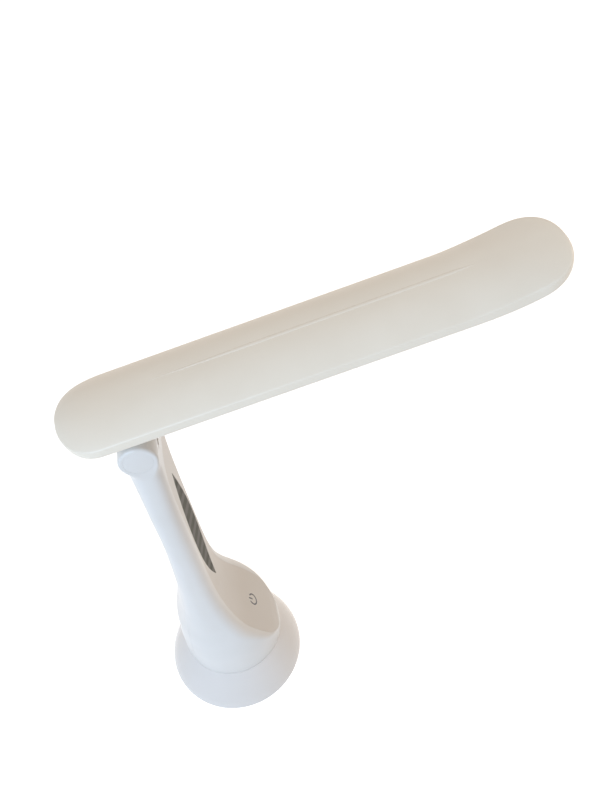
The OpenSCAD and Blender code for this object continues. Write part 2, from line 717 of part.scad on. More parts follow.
module hinge_nut() {
    color("silver") on_pivot() translate([0, 0, -pin_end - nut_t]) difference() {
        cylinder(h = nut_t, r = 6.4, $fn = 6);
        translate([0, 0, -1]) cylinder(h = nut_t + 2, r = pin_r, $fn = fine);
    }
}

module barrel_cap() {
    union() {
        translate([0, 0, stem_half - cap_t]) cylinder(h = cap_t, r = barrel_bore - fit_gap, $fn = fine);
        translate([0, 0, stem_half - cap_t - 1.2]) difference() {
            cylinder(h = 1.3, r = barrel_bore - fit_gap, $fn = fine);
            cylinder(h = 3, r = barrel_bore - 1.4, center = true, $fn = fine);
        }
    }
}
module barrel_cap_near() color("white") on_pivot() mirror([0, 0, 1]) barrel_cap();
module barrel_cap_far() color("white") on_pivot() barrel_cap();

// ---- Head ----
knuckle_r = barrel_r - 0.3;
neck_half = 6;
flange_half = 12.5;
flange_plate = 2.4;
frame_top = under_gap + frame_t;
flange_top = frame_top + flange_plate;
knuckle_screw_x = 9.5;
knuckle_screw_y = 9;
small_r = 1.1;
small_head = 2;

module head_knuckle() {
    color("white") in_head() difference() {
        union() {
            rotate([90, 0, 0]) cylinder(h = 2 * knuckle_half, r = knuckle_r, center = true, $fn = fine);
            translate([-neck_half, -knuckle_half + 0.5, 0])
                cube([2 * neck_half, 2 * knuckle_half - 1, frame_top + 0.5]);
            translate([-flange_half, -knuckle_half, frame_top + 0.05])
                cube([2 * flange_half, 2 * knuckle_half, flange_plate]);
        }
        rotate([90, 0, 0]) cylinder(h = big, r = pin_r, center = true, $fn = fine);
        cylinder(h = big, r = 2.2, $fn = medium);
        for (x = [-1, 1], y = [-1, 1]) translate([x * knuckle_screw_x, y * knuckle_screw_y, 0])
            cylinder(h = big, r = small_r + fit_gap, $fn = medium);
    }
}

module knuckle_screws() {
    color("silver") in_head() for (x = [-1, 1], y = [-1, 1])
        translate([x * knuckle_screw_x, y * knuckle_screw_y, frame_top + 0.05 - 1.4])
            screw(flange_plate + 5, small_r, small_head, 1.4);
}

end_back = 24;
end_front = 24;
back_power = 2.3;
front_power = 2.4;
curl_from = 183;
dome_power = 2.2;
function tip(u) = unit((u - curl_from) / (head_front - curl_from));
function rear(u) = pow(unit((22 - head_back - u) / 22), 2.2);
function head_under(u) = under_gap + tip_rise * pow(tip(u), 2.6) + 5.5 * rear(u);
function head_rim(u) = under_gap + rim_h + (tip_rise - 2.3) * pow(tip(u), 1.55) + 5 * rear(u);
function head_crest(u) = under_gap + crest_h + 1.2 * tip(u) - 1.5 * rear(u);
// Half width of the head, inset from its skin
function head_width(u, inset) =
    let (a = -head_back + inset, b = head_front - inset, w = head_half - inset,
        s = unit((a + end_back - u) / end_back), t = unit((u - b + end_front) / end_front))
    w * pow(1 - pow(s, back_power), 1 / back_power) * pow(1 - pow(t, front_power), 1 / front_power);
function head_levels(inset) = let (a = -head_back + inset + 0.05, b = head_front - inset - 0.05)
    concat([for (k = [0:8]) a + end_back * (1 - cos(k * 11.25))],
        [for (k = [1:6]) lerp(a + end_back, curl_from, k / 6)],
        [for (k = [1:4]) lerp(curl_from, b - end_front, k / 4)],
        [for (k = [1:8]) b - end_front * (1 - sin(k * 11.25))]);
dome_steps = 14;
function dome(u, inset, top_in, k) =
    let (h = head_width(u, inset), s = min(1, h / head_half), r = head_rim(u) - top_in / 4,
        t = r + (head_crest(u) - top_in - r) * (1 - pow(1 - s, 2)), v = cos(180 * k / dome_steps))
    [u, h * v, r + (t - r) * (1 - pow(abs(v), dome_power))];
function head_ring(u, inset, top_in, drop) =
    let (h = head_width(u, inset), w = head_under(u) - drop)
    concat([[u, h, w]], [for (k = [0:dome_steps]) dome(u, inset, top_in, k)], [[u, -h, w]]);

// Height of the middle of the shell's wall above a place in plan
function roof(u, v) =
    let (h = head_width(u, 0), s = min(1, h / head_half), r = head_rim(u),
        t = r + (head_crest(u) - r) * (1 - pow(1 - s, 2)))
    r + (t - r) * (1 - pow(abs(v) / h, dome_power)) - head_wall / 2;
module boss(u, v, from, r) translate([u, v, from]) cylinder(h = roof(u, v) - from, r = r, $fn = medium);
// Level just above the frame's top, under a boss of radius r
function frame_over(u, r) = max(head_under(u - r), head_under(u + r)) + frame_t + 0.05;
module head_shell() {
    color("white") in_head() union() {
        difference() {
            skin([for (u = head_levels(0)) head_ring(u, 0, 0, 0)]);
            skin([for (u = head_levels(head_wall)) head_ring(u, head_wall, head_wall, 6)]);
        }
        difference() {
            union() {
                for (x = [-1, 1], y = [-1, 1])
                    boss(x * knuckle_screw_x, y * knuckle_screw_y, flange_top + 0.1, 2.6);
                for (u = led_screw_places) boss(u, 0, tray_top + 0.05, 2.6);
                for (p = frame_screw_places) boss(p[0], p[1], frame_over(p[0], 2.4), 2.4);
            }
            for (x = [-1, 1], y = [-1, 1])
                translate([x * knuckle_screw_x, y * knuckle_screw_y, flange_top - 1])
                    cylinder(h = 6.2, r = small_r, $fn = medium);
            for (u = led_screw_places) translate([u, 0, tray_top - 1])
                cylinder(h = 5.4, r = small_r, $fn = medium);
            for (p = frame_screw_places) translate([p[0], p[1], head_under(p[0])])
                cylinder(h = 6, r = small_r, $fn = medium);
        }
    }
}

crest_steps = 12;
crest_proud = 0.35;
module crest_line() {
    color("whitesmoke") in_head() skin([for (k = [0:crest_steps])
        let (u = lerp(crest_from, crest_to, k / crest_steps), w = head_crest(u),
            e = k == 0 || k == crest_steps ? 0.35 : 1, h = e * crest_w / 2)
        [for (s = [[1, 0.02], [0.5, crest_proud * e], [-0.5, crest_proud * e], [-1, 0.02]])
            [u, s[0] * h, w + s[1]]]]);
}

// Bottom frame: a plate inside the rim that follows the underside, with the light window
frame_inset = head_wall + fit_gap;
frame_screw_places = [[-24, 0], [206, 17], [206, -17]];
lip = 2;
frame_levels = head_levels(frame_inset);
module light_frame() {
    outline = concat([for (u = frame_levels) [u, head_width(u, frame_inset)]],
        [for (u = backwards(frame_levels)) [u, -head_width(u, frame_inset)]]);
    profile = concat([for (u = frame_levels) [u, head_under(u)]],
        [for (u = backwards(frame_levels)) [u, head_under(u) + frame_t]]);
    color("white") in_head() difference() {
        intersection() {
            linear_extrude(2 * under_gap + tip_rise) polygon(outline);
            rotate([90, 0, 0]) linear_extrude(3 * head_half, center = true) polygon(profile);
        }
        translate([0, 0, under_gap - 1])
            rounded_slab(window_from, window_to, window_half, 4, frame_t + 2);
        translate([-neck_half - 0.5, -knuckle_half, 0])
            cube([2 * neck_half + 1, 2 * knuckle_half, frame_top + 1]);
        for (x = [-1, 1], y = [-1, 1]) translate([x * knuckle_screw_x, y * knuckle_screw_y, 0])
            cylinder(h = frame_top + 1, r = small_head + 0.3, $fn = medium);
        for (p = frame_screw_places) translate([p[0], p[1], 0]) {
            cylinder(h = big, r = small_r + fit_gap, $fn = medium);
            cylinder(h = head_under(p[0]) + 0.8, r = small_head + fit_gap, $fn = medium);
        }
    }
}

module frame_screws() {
    color("silver") in_head() for (p = frame_screw_places)
        translate([p[0], p[1], head_under(p[0]) - 0.1]) screw(4.5, small_r, small_head, 0.7);
}

diffuser_drop = 0.3;
lens_z = head_under(window_to + lip) + frame_t + 0.05;
lens_flange = 1;
module diffuser() {
    color([1, 1, 1, 0.8]) in_head() union() {
        translate([0, 0, under_gap + diffuser_drop]) rounded_slab(window_from + fit_gap, window_to - fit_gap,
            window_half - fit_gap, 4 - fit_gap, lens_z + 0.5 - under_gap - diffuser_drop);
        translate([0, 0, lens_z]) rounded_slab(window_from - lip, window_to + lip,
            window_half + lip, 4 + lip, lens_flange);
    }
}

// Reflector tray over the diffuser, with the board and its chips facing down
tray_t = 0.8;
lead_hole_r = 1.6;
tray_low = lens_z + lens_flange + 0.05;
tray_inner = tray_low + 2.6;
tray_top = tray_inner + tray_t;
tray_half = window_half + lip + 0.5;
tray_from = window_from - lip - 0.5;
tray_to = window_to + lip + 0.5;
module reflector_tray() {
    color("white") in_head() difference() {
        translate([0, 0, tray_low]) rounded_slab(tray_from, tray_to, tray_half, 5, tray_top - tray_low);
        translate([0, 0, tray_low - 1]) rounded_slab(tray_from + tray_t, tray_to - tray_t,
            tray_half - tray_t, 5 - tray_t, tray_inner - tray_low + 1);
        for (u = led_screw_places) translate([u, 0, 0])
            cylinder(h = big, r = small_r + fit_gap, $fn = medium);
        translate([lead_u, lead_v, 0]) cylinder(h = big, r = lead_hole_r, $fn = medium);
    }
}

led_board_t = 1;
led_board_half = 12;
led_board_z = tray_inner - led_board_t;
led_screw_places = [lerp(window_from, window_to, 0.05), lerp(window_from, window_to, 0.5),
    lerp(window_from, window_to, 0.95)];
lead_u = window_from + 22;
lead_v = 2;
module led_board() {
    color("gainsboro") in_head() difference() {
        translate([window_from + 1, -led_board_half, led_board_z])
            cube([window_to - window_from - 2, 2 * led_board_half, led_board_t]);
        for (u = led_screw_places) translate([u, 0, 0])
            cylinder(h = big, r = small_r + fit_gap, $fn = medium);
        translate([lead_u, lead_v, 0]) cylinder(h = big, r = lead_hole_r, $fn = medium);
    }
}

led_pitch = (window_to - window_from - 12) / (led_count - 1);
led_rows = [-7, 7];
led_size = [2.8, 3.5, 0.75];
module leds() {
    color("gold") in_head() for (k = [0:led_count - 1], y = led_rows)
        translate([window_from + 6 + k * led_pitch, y, led_board_z] - [led_size[0] / 2, led_size[1] / 2, led_size[2]])
            cube(led_size);
}

module led_screws() {
    color("silver") in_head() for (u = led_screw_places)
        translate([u, 0, led_board_z - 0.9]) screw(led_board_t + tray_t + 3.5, small_r, small_head, 0.9);
}

head_route = [[0, 0, 0.4], [0, 0, 8], [0, 0, flange_top + 0.2], [1.6, 0.3, flange_top + 2.4],
    [6, 2, tray_top + 2.6], [16, 5, tray_top + 2.4], [30, 5.4, tray_top + 1.8],
    [lead_u - 9, 4.4, tray_top + 1.6], [lead_u - 1.5, lead_v + 0.4, tray_top + 1.4],
    [lead_u, lead_v, tray_top - 0.4], [lead_u, lead_v, led_board_z + 0.2]];
module head_lead() {
    color("black") in_head() wire(bend(head_route, 4), lead_r);
}

base_skirt();
bottom_cover();
foot_pad();
ballast_plate();
base_screws();
body_screws();
battery_cradle();
battery_cell();
battery_contacts();
main_board();
board_parts();
board_screws();
charge_socket();
charge_lamp();
front_shell();
rear_cover();
hinge_block();
block_screws();
front_panel();
stem_inlay();
power_symbol();
touch_pad();
touch_spring();
stem_lead();
hub_near();
hub_far();
hinge_pin();
friction_washers();
hinge_nut();
barrel_cap_near();
barrel_cap_far();
head_knuckle();
knuckle_screws();
head_shell();
crest_line();
light_frame();
frame_screws();
diffuser();
reflector_tray();
led_board();
leds();
led_screws();
head_lead();
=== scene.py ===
"""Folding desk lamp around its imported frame. Metres, +Z up, +X along the head to the user."""
import math

import bmesh
import bpy
from mathutils import Matrix, Vector


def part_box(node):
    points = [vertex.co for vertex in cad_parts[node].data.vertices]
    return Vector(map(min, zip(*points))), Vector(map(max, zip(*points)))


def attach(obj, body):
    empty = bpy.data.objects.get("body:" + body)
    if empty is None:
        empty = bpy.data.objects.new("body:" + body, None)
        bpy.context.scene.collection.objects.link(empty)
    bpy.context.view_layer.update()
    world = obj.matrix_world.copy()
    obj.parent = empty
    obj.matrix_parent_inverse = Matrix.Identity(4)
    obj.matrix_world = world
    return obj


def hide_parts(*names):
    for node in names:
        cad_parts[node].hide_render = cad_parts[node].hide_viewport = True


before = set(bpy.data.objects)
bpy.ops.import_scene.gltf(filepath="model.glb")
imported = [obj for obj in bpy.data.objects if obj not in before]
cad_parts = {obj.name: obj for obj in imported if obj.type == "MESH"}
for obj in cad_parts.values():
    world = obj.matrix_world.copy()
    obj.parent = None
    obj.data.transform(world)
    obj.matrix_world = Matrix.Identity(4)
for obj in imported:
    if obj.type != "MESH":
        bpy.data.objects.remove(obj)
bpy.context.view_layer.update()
MM = 0.001


# ---- Ballast plate ----
# A laser-cut disc of mild steel that keeps the lamp from tipping, zinc plated and dropped over
# the skirt's posts. Zinc plating shows as a blotchy grey spangle on a dull metal.
def linear(hex_colour):
    """Linear colour of an sRGB hex value, as the shaders take it."""
    parts = [int(hex_colour[i:i + 2], 16) / 255 for i in (1, 3, 5)]
    return [p / 12.92 if p <= 0.04045 else ((p + 0.055) / 1.055) ** 2.4 for p in parts] + [1]


def add(tree, kind, fed, **settings):
    """A node of that kind, with its settings, and its inputs fed by a socket or a value."""
    node = tree.nodes.new(kind)
    for name, value in settings.items():
        setattr(node, name, value)
    for name, value in fed.items():
        if isinstance(value, bpy.types.NodeSocket):
            tree.links.new(value, node.inputs[name])
        else:
            node.inputs[name].default_value = value
    return node


def blank(name):
    """A new material, and its node tree with nothing in it."""
    material = bpy.data.materials.new(name)
    material.use_nodes = True
    material.node_tree.nodes.clear()
    return material, material.node_tree


cloud_grains = 18  # the colour drifts over patches this many grains wide


def finish(name, light, dark, grain, rough, relief, **shader):
    """Material whose colour, gloss and relief vary with a noise of that grain, in millimetres."""
    material, tree = blank(name)
    place = add(tree, "ShaderNodeTexCoord", {}).outputs["Object"]
    noise = add(tree, "ShaderNodeTexNoise", {
        "Vector": place, "Scale": 1 / (grain * MM), "Detail": 4}).outputs[0]
    cloud = add(tree, "ShaderNodeTexNoise", {
        "Vector": place, "Scale": 1 / (cloud_grains * grain * MM), "Detail": 2}).outputs[0]
    tint = add(tree, "ShaderNodeMix", {
        0: cloud, 6: linear(dark), 7: linear(light)}, data_type="RGBA").outputs[2]
    gloss = add(tree, "ShaderNodeMapRange", {
        "Value": noise, "To Min": rough[0], "To Max": rough[1]}).outputs[0]
    bump = add(tree, "ShaderNodeBump", {
        "Height": noise, "Distance": relief * MM, "Strength": 0.6}).outputs[0]
    body = add(tree, "ShaderNodeBsdfPrincipled", {
        "Base Color": tint, "Roughness": gloss, "Normal": bump, **shader}).outputs[0]
    add(tree, "ShaderNodeOutputMaterial", {"Surface": body})
    return material


def dress(material, slot, *nodes):
    """Gives a material to frame nodes whose shape is right as it is."""
    for name in nodes:
        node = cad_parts[name]
        node.data.materials.clear()
        node.data.materials.append(material)


zinc_steel = finish("zinc plated steel", "#B9BCC0", "#A2A6AB", 0.9, (0.28, 0.46), 0.02, Metallic=1)
dress(zinc_steel, "steel", "ballast_plate", "base_screws", "body_screws")


# ---- Bottom cover ----
# A shallow moulded dish of black ABS that closes the base. Four screws pull it to the skirt's
# posts; spark-eroded moulds leave it with an even matt grain.
black_abs = finish("matt black ABS", "#35363A", "#2B2C30", 0.35, (0.5, 0.68), 0.03)
dress(black_abs, "dark_plastic", "bottom_cover", "battery_cradle")


# ---- Foot pad ----
# A silicone rubber disc, glued into the cover's seat over the screws. Moulded rings give it
# grip; rubber is dull, and dust in its pores makes it slightly uneven.
def welded(bm, mesh):
    """Puts the faces in the mesh, their points merged, smooth and turned outwards."""
    bmesh.ops.remove_doubles(bm, verts=bm.verts, dist=1e-6)
    bmesh.ops.recalc_face_normals(bm, faces=bm.faces)
    for face in bm.faces:
        face.smooth = True
    bm.to_mesh(mesh)
    bm.free()
    return mesh


def skin(rows, loop_rows=False, loop_columns=False):
    """Smooth mesh through rows of points in millimetres, welded where points meet."""
    bm = bmesh.new()
    grid = [[bm.verts.new(Vector(p) * MM) for p in row] for row in rows]
    for i in range(len(rows) - (not loop_rows)):
        here, ahead = grid[i], grid[(i + 1) % len(rows)]
        for k in range(len(here) - (not loop_columns)):
            m = (k + 1) % len(here)
            bm.faces.new((here[k], ahead[k], ahead[m], here[m]))
    return welded(bm, bpy.data.meshes.new("skin"))


def turned(profile, steps=144, place=Matrix(), loop=False):
    """Lathe mesh of a profile of radii and heights, moved to its place."""
    turns = [2 * math.pi * i / steps for i in range(steps)]
    return skin([[place @ Vector((r * math.cos(a), r * math.sin(a), z)) for r, z in profile]
                 for a in turns], True, loop)


def rounded(corners, radius, steps=4):
    """Profile through the corners, each rounded to a radius; end corners stay."""
    line = [corners[0]]
    for before, corner, after in zip(corners, corners[1:], corners[2:]):
        c = Vector(corner)
        back, ahead = Vector(before) - c, Vector(after) - c
        reach = min(radius, back.length * 0.45, ahead.length * 0.45)
        a, b = c + back.normalized() * reach, c + ahead.normalized() * reach
        for i in range(steps + 1):
            t = i / steps
            line.append(tuple(a * (1 - t) ** 2 + c * 2 * t * (1 - t) + b * t * t))
    return line + [corners[-1]]


def shown(name, data):
    """A new object of that data, put in the scene."""
    obj = bpy.data.objects.new(name, data)
    bpy.context.scene.collection.objects.link(obj)
    return obj


sharp_angle = 38  # a steeper edge than this stays crisp


def piece(name, mesh, material, slot, body, *nodes):
    """A finished piece that rides on a body and stands for frame nodes."""
    mesh.set_sharp_from_angle(angle=math.radians(sharp_angle))
    mesh.materials.clear()
    mesh.materials.append(material)
    obj = shown(name, mesh)
    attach(obj, body)
    if nodes:
        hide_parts(*nodes)


rubber = finish("silicone rubber", "#6E7073", "#5F6164", 0.5, (0.7, 0.9), 0.04)
pad_r, pad_h, pad_edge = 47, 2, 0.3
grooves, groove_pitch, first_groove = 8, 4.5, 0.6
groove_half, groove_floor, groove_d = 0.9, 0.9 * 0.7, 0.5
pad_line = [(0, pad_h), (pad_r, pad_h), (pad_r, 0)]
for k in range(grooves):
    r = pad_r - groove_pitch * (k + first_groove)
    pad_line += [(r + groove_half, 0), (r + groove_floor, groove_d),
                 (r - groove_floor, groove_d), (r - groove_half, 0)]
pad_line.append((0, 0))
piece("foot_pad_ringed", turned(rounded(pad_line, pad_edge, 2)), rubber, "rubber_pad", "base", "foot_pad")


# ---- Skirt ----
# The flared base, injection moulded in white ABS from a polished mould, so it is the glossiest
# piece. It rolls in at the desk and meets the body in a crease.
gloss_abs = finish("polished white ABS", "#E4E2E0", "#DFDDDB", 1.6, (0.1, 0.15), 0.003)
base_r, crease_r, skirt_h = 54.5, 39.5, 37
desk_gap, desk_round, flare_power = 1.2, 2, 1.4
shell_wall, lead_hole_r, inner_from = 2.4, 14, 3.6


def skirt_radius(z):
    """Outer radius of the skirt at a height: a roll at the desk, then the flare."""
    low = desk_gap + desk_round
    if z < low:
        return base_r - desk_round + math.sqrt(desk_round ** 2 - (low - z) ** 2)
    return base_r - (base_r - crease_r) * ((z - low) / (skirt_h - low)) ** flare_power


def spread(a, b, count):
    """Even steps from a to b, both of them included."""
    return [a + (b - a) * i / count for i in range(count + 1)]


roll = [desk_gap + desk_round * (1 - math.cos(math.radians(a))) for a in spread(4, 84, 10)]
rise = spread(desk_gap + desk_round, skirt_h - 0.35, 60)
# The rounded lip at the crease, from the flare over to the flat top.
crown = [(crease_r + 0.2, skirt_h - 0.12), (crease_r - 0.05, skirt_h - 0.02), (crease_r - 0.4, skirt_h)]
inside = [(skirt_radius(z) - shell_wall, z) for z in reversed(spread(inner_from, skirt_h - shell_wall, 20))]
skirt_line = ([(skirt_radius(z), z) for z in roll + rise] + crown
              + [(lead_hole_r, skirt_h), (lead_hole_r, skirt_h - shell_wall)] + inside
              + [(base_r - desk_round - shell_wall + 0.6, desk_gap)])
piece("skirt_shell", turned(skirt_line, 192, loop=True), gloss_abs, "white_shell", "base", "base_skirt")


# ---- Battery, circuit board and touch spring ----
# A sleeved lithium cell between spring contacts, and a green glass-epoxy board on four
# standoffs. All of it is hidden in the closed base, so the frame's own pieces stay.

# Shrunk sleeve film shines softly, solder mask is smooth and even, chip epoxy is dull and
# slightly rough, bare copper is warm and bright, and wire insulation has a low sheen.
sleeve = finish("PVC cell sleeve", "#3F8F6B", "#388460", 2.5, (0.3, 0.42), 0.01)
board_resin = finish("solder-masked glass epoxy", "#1F5A38", "#184A2D", 0.6, (0.3, 0.5), 0.015)
chip_epoxy = finish("black chip epoxy", "#232326", "#1B1B1E", 0.3, (0.45, 0.65), 0.02)
copper = finish("bare copper foil", "#C98A62", "#B87850", 1.2, (0.25, 0.4), 0.01, Metallic=1)
wire_cover = finish("PVC wire insulation", "#2A2A2C", "#202022", 0.8, (0.4, 0.55), 0.01)
dress(sleeve, "cell", "battery_cell")
dress(board_resin, "circuit", "main_board")
dress(chip_epoxy, "black_parts", "board_parts")
dress(copper, "copper", "touch_pad")
dress(wire_cover, "insulation", "stem_lead", "head_lead")
dress(zinc_steel, "steel", "battery_contacts", "board_screws", "touch_spring", "block_screws")


# ---- Charge socket and charge lamp ----
# A barrel socket at the back of the body: a black nylon housing with a nickel-plated sleeve and
# centre pin, and beside it the clear light guide of the charge lamp. Moulded nylon is dull and
# even, the plating mirrors softly, and the acrylic is glassy.
nylon = finish("black nylon", "#2C2D30", "#242528", 0.4, (0.38, 0.5), 0.015)
nickel = finish("nickel plating", "#CFCBC2", "#BDB8AE", 0.7, (0.16, 0.26), 0.006, Metallic=1)
light_guide = finish("clear acrylic light guide", "#E9EFE6", "#DDE6DA", 1.0, (0.1, 0.18), 0.004,
                     **{"Transmission Weight": 0.55, "IOR": 1.49})
socket_z, socket_r, socket_back = 50, 4, -13.5
bore_r, bore_end, contact_r, contact_tip = 2.85, -9.1, 1.05, -1.0
sleeve_r, sleeve_bore, sleeve_from, sleeve_to = bore_r - 0.02, bore_r - 0.25, -8.8, -0.7
lamp_y, lamp_hole = 8, 1.45
socket_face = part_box("charge_socket")[0].x / MM
facing_back = Matrix.Translation((socket_face, 0, socket_z)) @ Matrix.Rotation(-math.pi / 2, 4, "Y")
housing = [(0, bore_end), (bore_r, bore_end), (bore_r, 0),
           (socket_r, 0), (socket_r, socket_back), (0, socket_back)]
sleeve_line = [(sleeve_r, sleeve_from), (sleeve_r, sleeve_to),
               (sleeve_bore, sleeve_to), (sleeve_bore, sleeve_from)]
contact = [(0, contact_tip), (contact_r, contact_tip), (contact_r, bore_end), (0, bore_end)]
piece("charge_socket_housing", turned(rounded(housing, 0.3, 3), 64, facing_back), nylon,
      "dark_plastic", "base", "charge_socket")
piece("charge_socket_sleeve", turned(sleeve_line, 64, facing_back, True), nickel, "steel", "base")
piece("charge_socket_pin", turned(rounded(contact, 0.6, 4), 40, facing_back), nickel, "steel", "base")
dress(light_guide, "lamp_lens", "charge_lamp")


# ---- Front shell ----
# One long moulding in white ABS that is the bowl, its sloping spoon face and the sides of the
# stem. Its mould is smooth but not polished, which leaves a soft satin gloss.
satin_abs = finish("satin white ABS", "#E3E3E2", "#DEDEDC", 1.1, (0.26, 0.34), 0.006)
stem_top, stem_middle, shoulder_z = 286, -15, 131
split_angle, front_lap = 52, 0.95
side_run, outline_soft, wrap = 2, 1.3, 12
panel_low, panel_top, panel_round, panel_margin = 47, 281, 14, 1.2
BACK, FRONT, HALF, SQUARE, EDGE = range(1, 6)
body_table = [  # height, back, front, half width, squareness of the back, front edge radius
    (37, -39.5, 39.5, 39.5, 2, 4), (42, -39.6, 39.5, 40, 2, 5), (52, -39.5, 35.4, 40, 2, 6),
    (62, -39.5, 29.6, 39.6, 2.05, 7.5), (75.7, -39, 20.6, 37.6, 2.1, 8.5), (88, -38, 12.2, 35.3, 2.2, 8.5),
    (98, -36, 7, 33.1, 2.3, 8.5), (108, -34, 3, 31.1, 2.5, 8.5), (118, -32.2, 0, 29.3, 2.7, 8.5),
    (130, -31, -2.5, 28.2, 2.9, 8.5), (150, -29.6, -5, 27.5, 3, 8.5), (196, -29.2, -8.6, 27.5, 3, 8.5),
    (250, -32, -12.4, 27.5, 3, 7.5), (286, -34.3, -13.8, 27.5, 3, 6.5)]


def along(column, z):
    """Smooth value of a column of the body table, with no overshoot between its rows."""
    rows = body_table
    i = next((i for i in range(len(rows) - 2) if z <= rows[i + 1][0]), len(rows) - 2)
    slopes = [(b[column] - a[column]) / (b[0] - a[0]) for a, b in zip(rows, rows[1:])]

    def knot(k):
        """Slope at a row of the table."""
        if k in (0, len(rows) - 1):
            return slopes[min(k, len(slopes) - 1)]
        a, b = slopes[k - 1], slopes[k]
        return 0 if a * b <= 0 else 2 * a * b / (a + b)
    h = rows[i + 1][0] - rows[i][0]
    t = min(1, max(0, (z - rows[i][0]) / h))
    return (rows[i][column] * (1 + 2 * t) * (1 - t) ** 2 + rows[i + 1][column] * t * t * (3 - 2 * t)
            + h * t * (1 - t) * (knot(i) * (1 - t) - knot(i + 1) * t))


def softened(line, spread_mm, step=0.5):
    """A plane line resampled at even steps and smoothed, its two ends held in place."""
    lengths = [0]
    for a, b in zip(line, line[1:]):
        lengths.append(lengths[-1] + math.dist(a, b))
    count = max(8, int(lengths[-1] / step))
    even, k = [], 0
    for i in range(count + 1):
        s = lengths[-1] * i / count
        while k < len(lengths) - 2 and lengths[k + 1] < s:
            k += 1
        t = (s - lengths[k]) / max(lengths[k + 1] - lengths[k], 1e-9)
        even.append([a + (b - a) * t for a, b in zip(line[k], line[k + 1])])
    reach = int(2.5 * spread_mm / step)
    weights = [math.exp(-0.5 * (d * step / spread_mm) ** 2) for d in range(-reach, reach + 1)]
    smooth = []
    for i in range(count + 1):
        total, sums = 0, [0, 0]
        for d, w in zip(range(-reach, reach + 1), weights):
            j = i + d
            point = even[min(max(j, 0), count)]
            if not 0 <= j <= count:
                inner = even[min(max(-j if j < 0 else 2 * count - j, 0), count)]
                point = [2 * point[0] - inner[0], 2 * point[1] - inner[1]]
            total += w
            sums = [sums[0] + w * point[0], sums[1] + w * point[1]]
        smooth.append((sums[0] / total, sums[1] / total))
    return smooth


def turn_place(z):
    """Place along X where the body's side turns into its back."""
    return min(0, along(FRONT, z) - along(EDGE, z) - side_run)


def side_place(z):
    """Places along X and Y where the body's front edge ends and its side begins."""
    x, half = along(FRONT, z) - along(EDGE, z), along(HALF, z)
    return x, math.sqrt(max(half ** 2 - x ** 2, 4)) if x > 0 else half


def half_line(z):
    """Outline of half the body at a height, from the front middle to the back middle."""
    back, front, half, square, edge = (along(c, z) for c in (BACK, FRONT, HALF, SQUARE, EDGE))
    (side_x, side_y), turn_x, power = side_place(z), turn_place(z), 2 / square
    corner_y = max(side_y - edge, 0.5)
    line = [(front, y) for y in spread(0, corner_y, 24)]
    for a in spread(0, 90, 16)[1:]:
        t = math.radians(a)
        line.append((side_x + edge * math.cos(t), corner_y + (side_y - corner_y) * math.sin(t)))
    line += [(x, math.sqrt(half ** 2 - x * x) if x > 0 else half)
             for x in spread(side_x, turn_x, 16)[1:]]
    line = [Vector(p) * half / math.hypot(*p) if p[0] > 0 and math.hypot(*p) > half else p
            for p in line]
    for a in spread(0, 90, 60)[1:]:
        t = math.radians(a)
        line.append((turn_x + (back - turn_x) * math.sin(t) ** power,
                     half * max(math.cos(t), 0) ** power))
    return line


class Section:
    """The body's half outline at a height, addressed by the distance round it."""

    def __init__(self, z):
        self.z = z
        line = half_line(z)
        mirrored = ([(x, -y) for x, y in reversed(line[1:wrap])] + line
                    + [(x, -y) for x, y in reversed(line[-wrap:-1])])
        smooth = softened(mirrored, outline_soft)
        self.points = [p for p in smooth if p[1] >= 0]
        self.points[0], self.points[-1] = (self.points[0][0], 0), (self.points[-1][0], 0)
        self.lengths = [0]
        for a, b in zip(self.points, self.points[1:]):
            self.lengths.append(self.lengths[-1] + math.dist(a, b))
        front, edge, half = along(FRONT, z), along(EDGE, z), along(HALF, z)
        side_x, side_y = side_place(z)
        self.flat = side_y - edge
        if front > edge:
            self.flat = min(self.flat, math.sqrt(max(half ** 2 - front ** 2, 0)))
        self.corner_end = self.where(side_x)
        self.side_end = self.where(turn_place(z))

    def where(self, x):
        """Distance at which the outline first lies behind a place along X."""
        for i, (a, b) in enumerate(zip(self.points, self.points[1:])):
            if b[0] < x:
                t = max(0, (a[0] - x) / (a[0] - b[0]))
                return self.lengths[i] + t * (self.lengths[i + 1] - self.lengths[i])
        return self.lengths[-1]

    def at(self, s):
        """Point at a distance round the outline."""
        k, high = 0, len(self.lengths) - 2
        while k < high:
            m = (k + high + 1) // 2
            k, high = (m, high) if self.lengths[m] <= s else (k, m - 1)
        t = (s - self.lengths[k]) / max(self.lengths[k + 1] - self.lengths[k], 1e-9)
        return [a + (b - a) * t for a, b in zip(self.points[k], self.points[k + 1])] + [self.z]

    def split(self, angle):
        """Distance at which the seam between front shell and rear cover lies."""
        back, turn_x = along(BACK, self.z), turn_place(self.z)
        share = math.sin(math.radians(angle)) ** (2 / along(SQUARE, self.z))
        return self.where(turn_x + (back - turn_x) * share)


sections = {}


def section_at(z):
    """The section at a height, worked out once."""
    if z not in sections:
        sections[z] = Section(z)
    return sections[z]


def panel_half(section):
    """Half width of the panel's pocket, with its round top end."""
    low = (section_at(panel_low) if section.z < panel_low else section).flat - panel_margin
    d = panel_top - section.z
    if d < 0:
        return 0.5
    if d < panel_round:
        low += math.sqrt(max(panel_round ** 2 - (panel_round - d) ** 2, 0)) - panel_round
    return max(low, 0.5)


def plain(obj):
    """The object's mesh with its modifiers applied, once the object itself is gone."""
    depsgraph = bpy.context.evaluated_depsgraph_get()
    mesh = bpy.data.meshes.new_from_object(obj.evaluated_get(depsgraph))
    bpy.data.objects.remove(obj)
    return mesh


def baked(mesh, kind, **settings):
    """The mesh with one modifier applied."""
    obj = shown("work", mesh)
    modifier = obj.modifiers.new(kind, kind)
    for name, value in settings.items():
        setattr(modifier, name, value)
    return plain(obj)


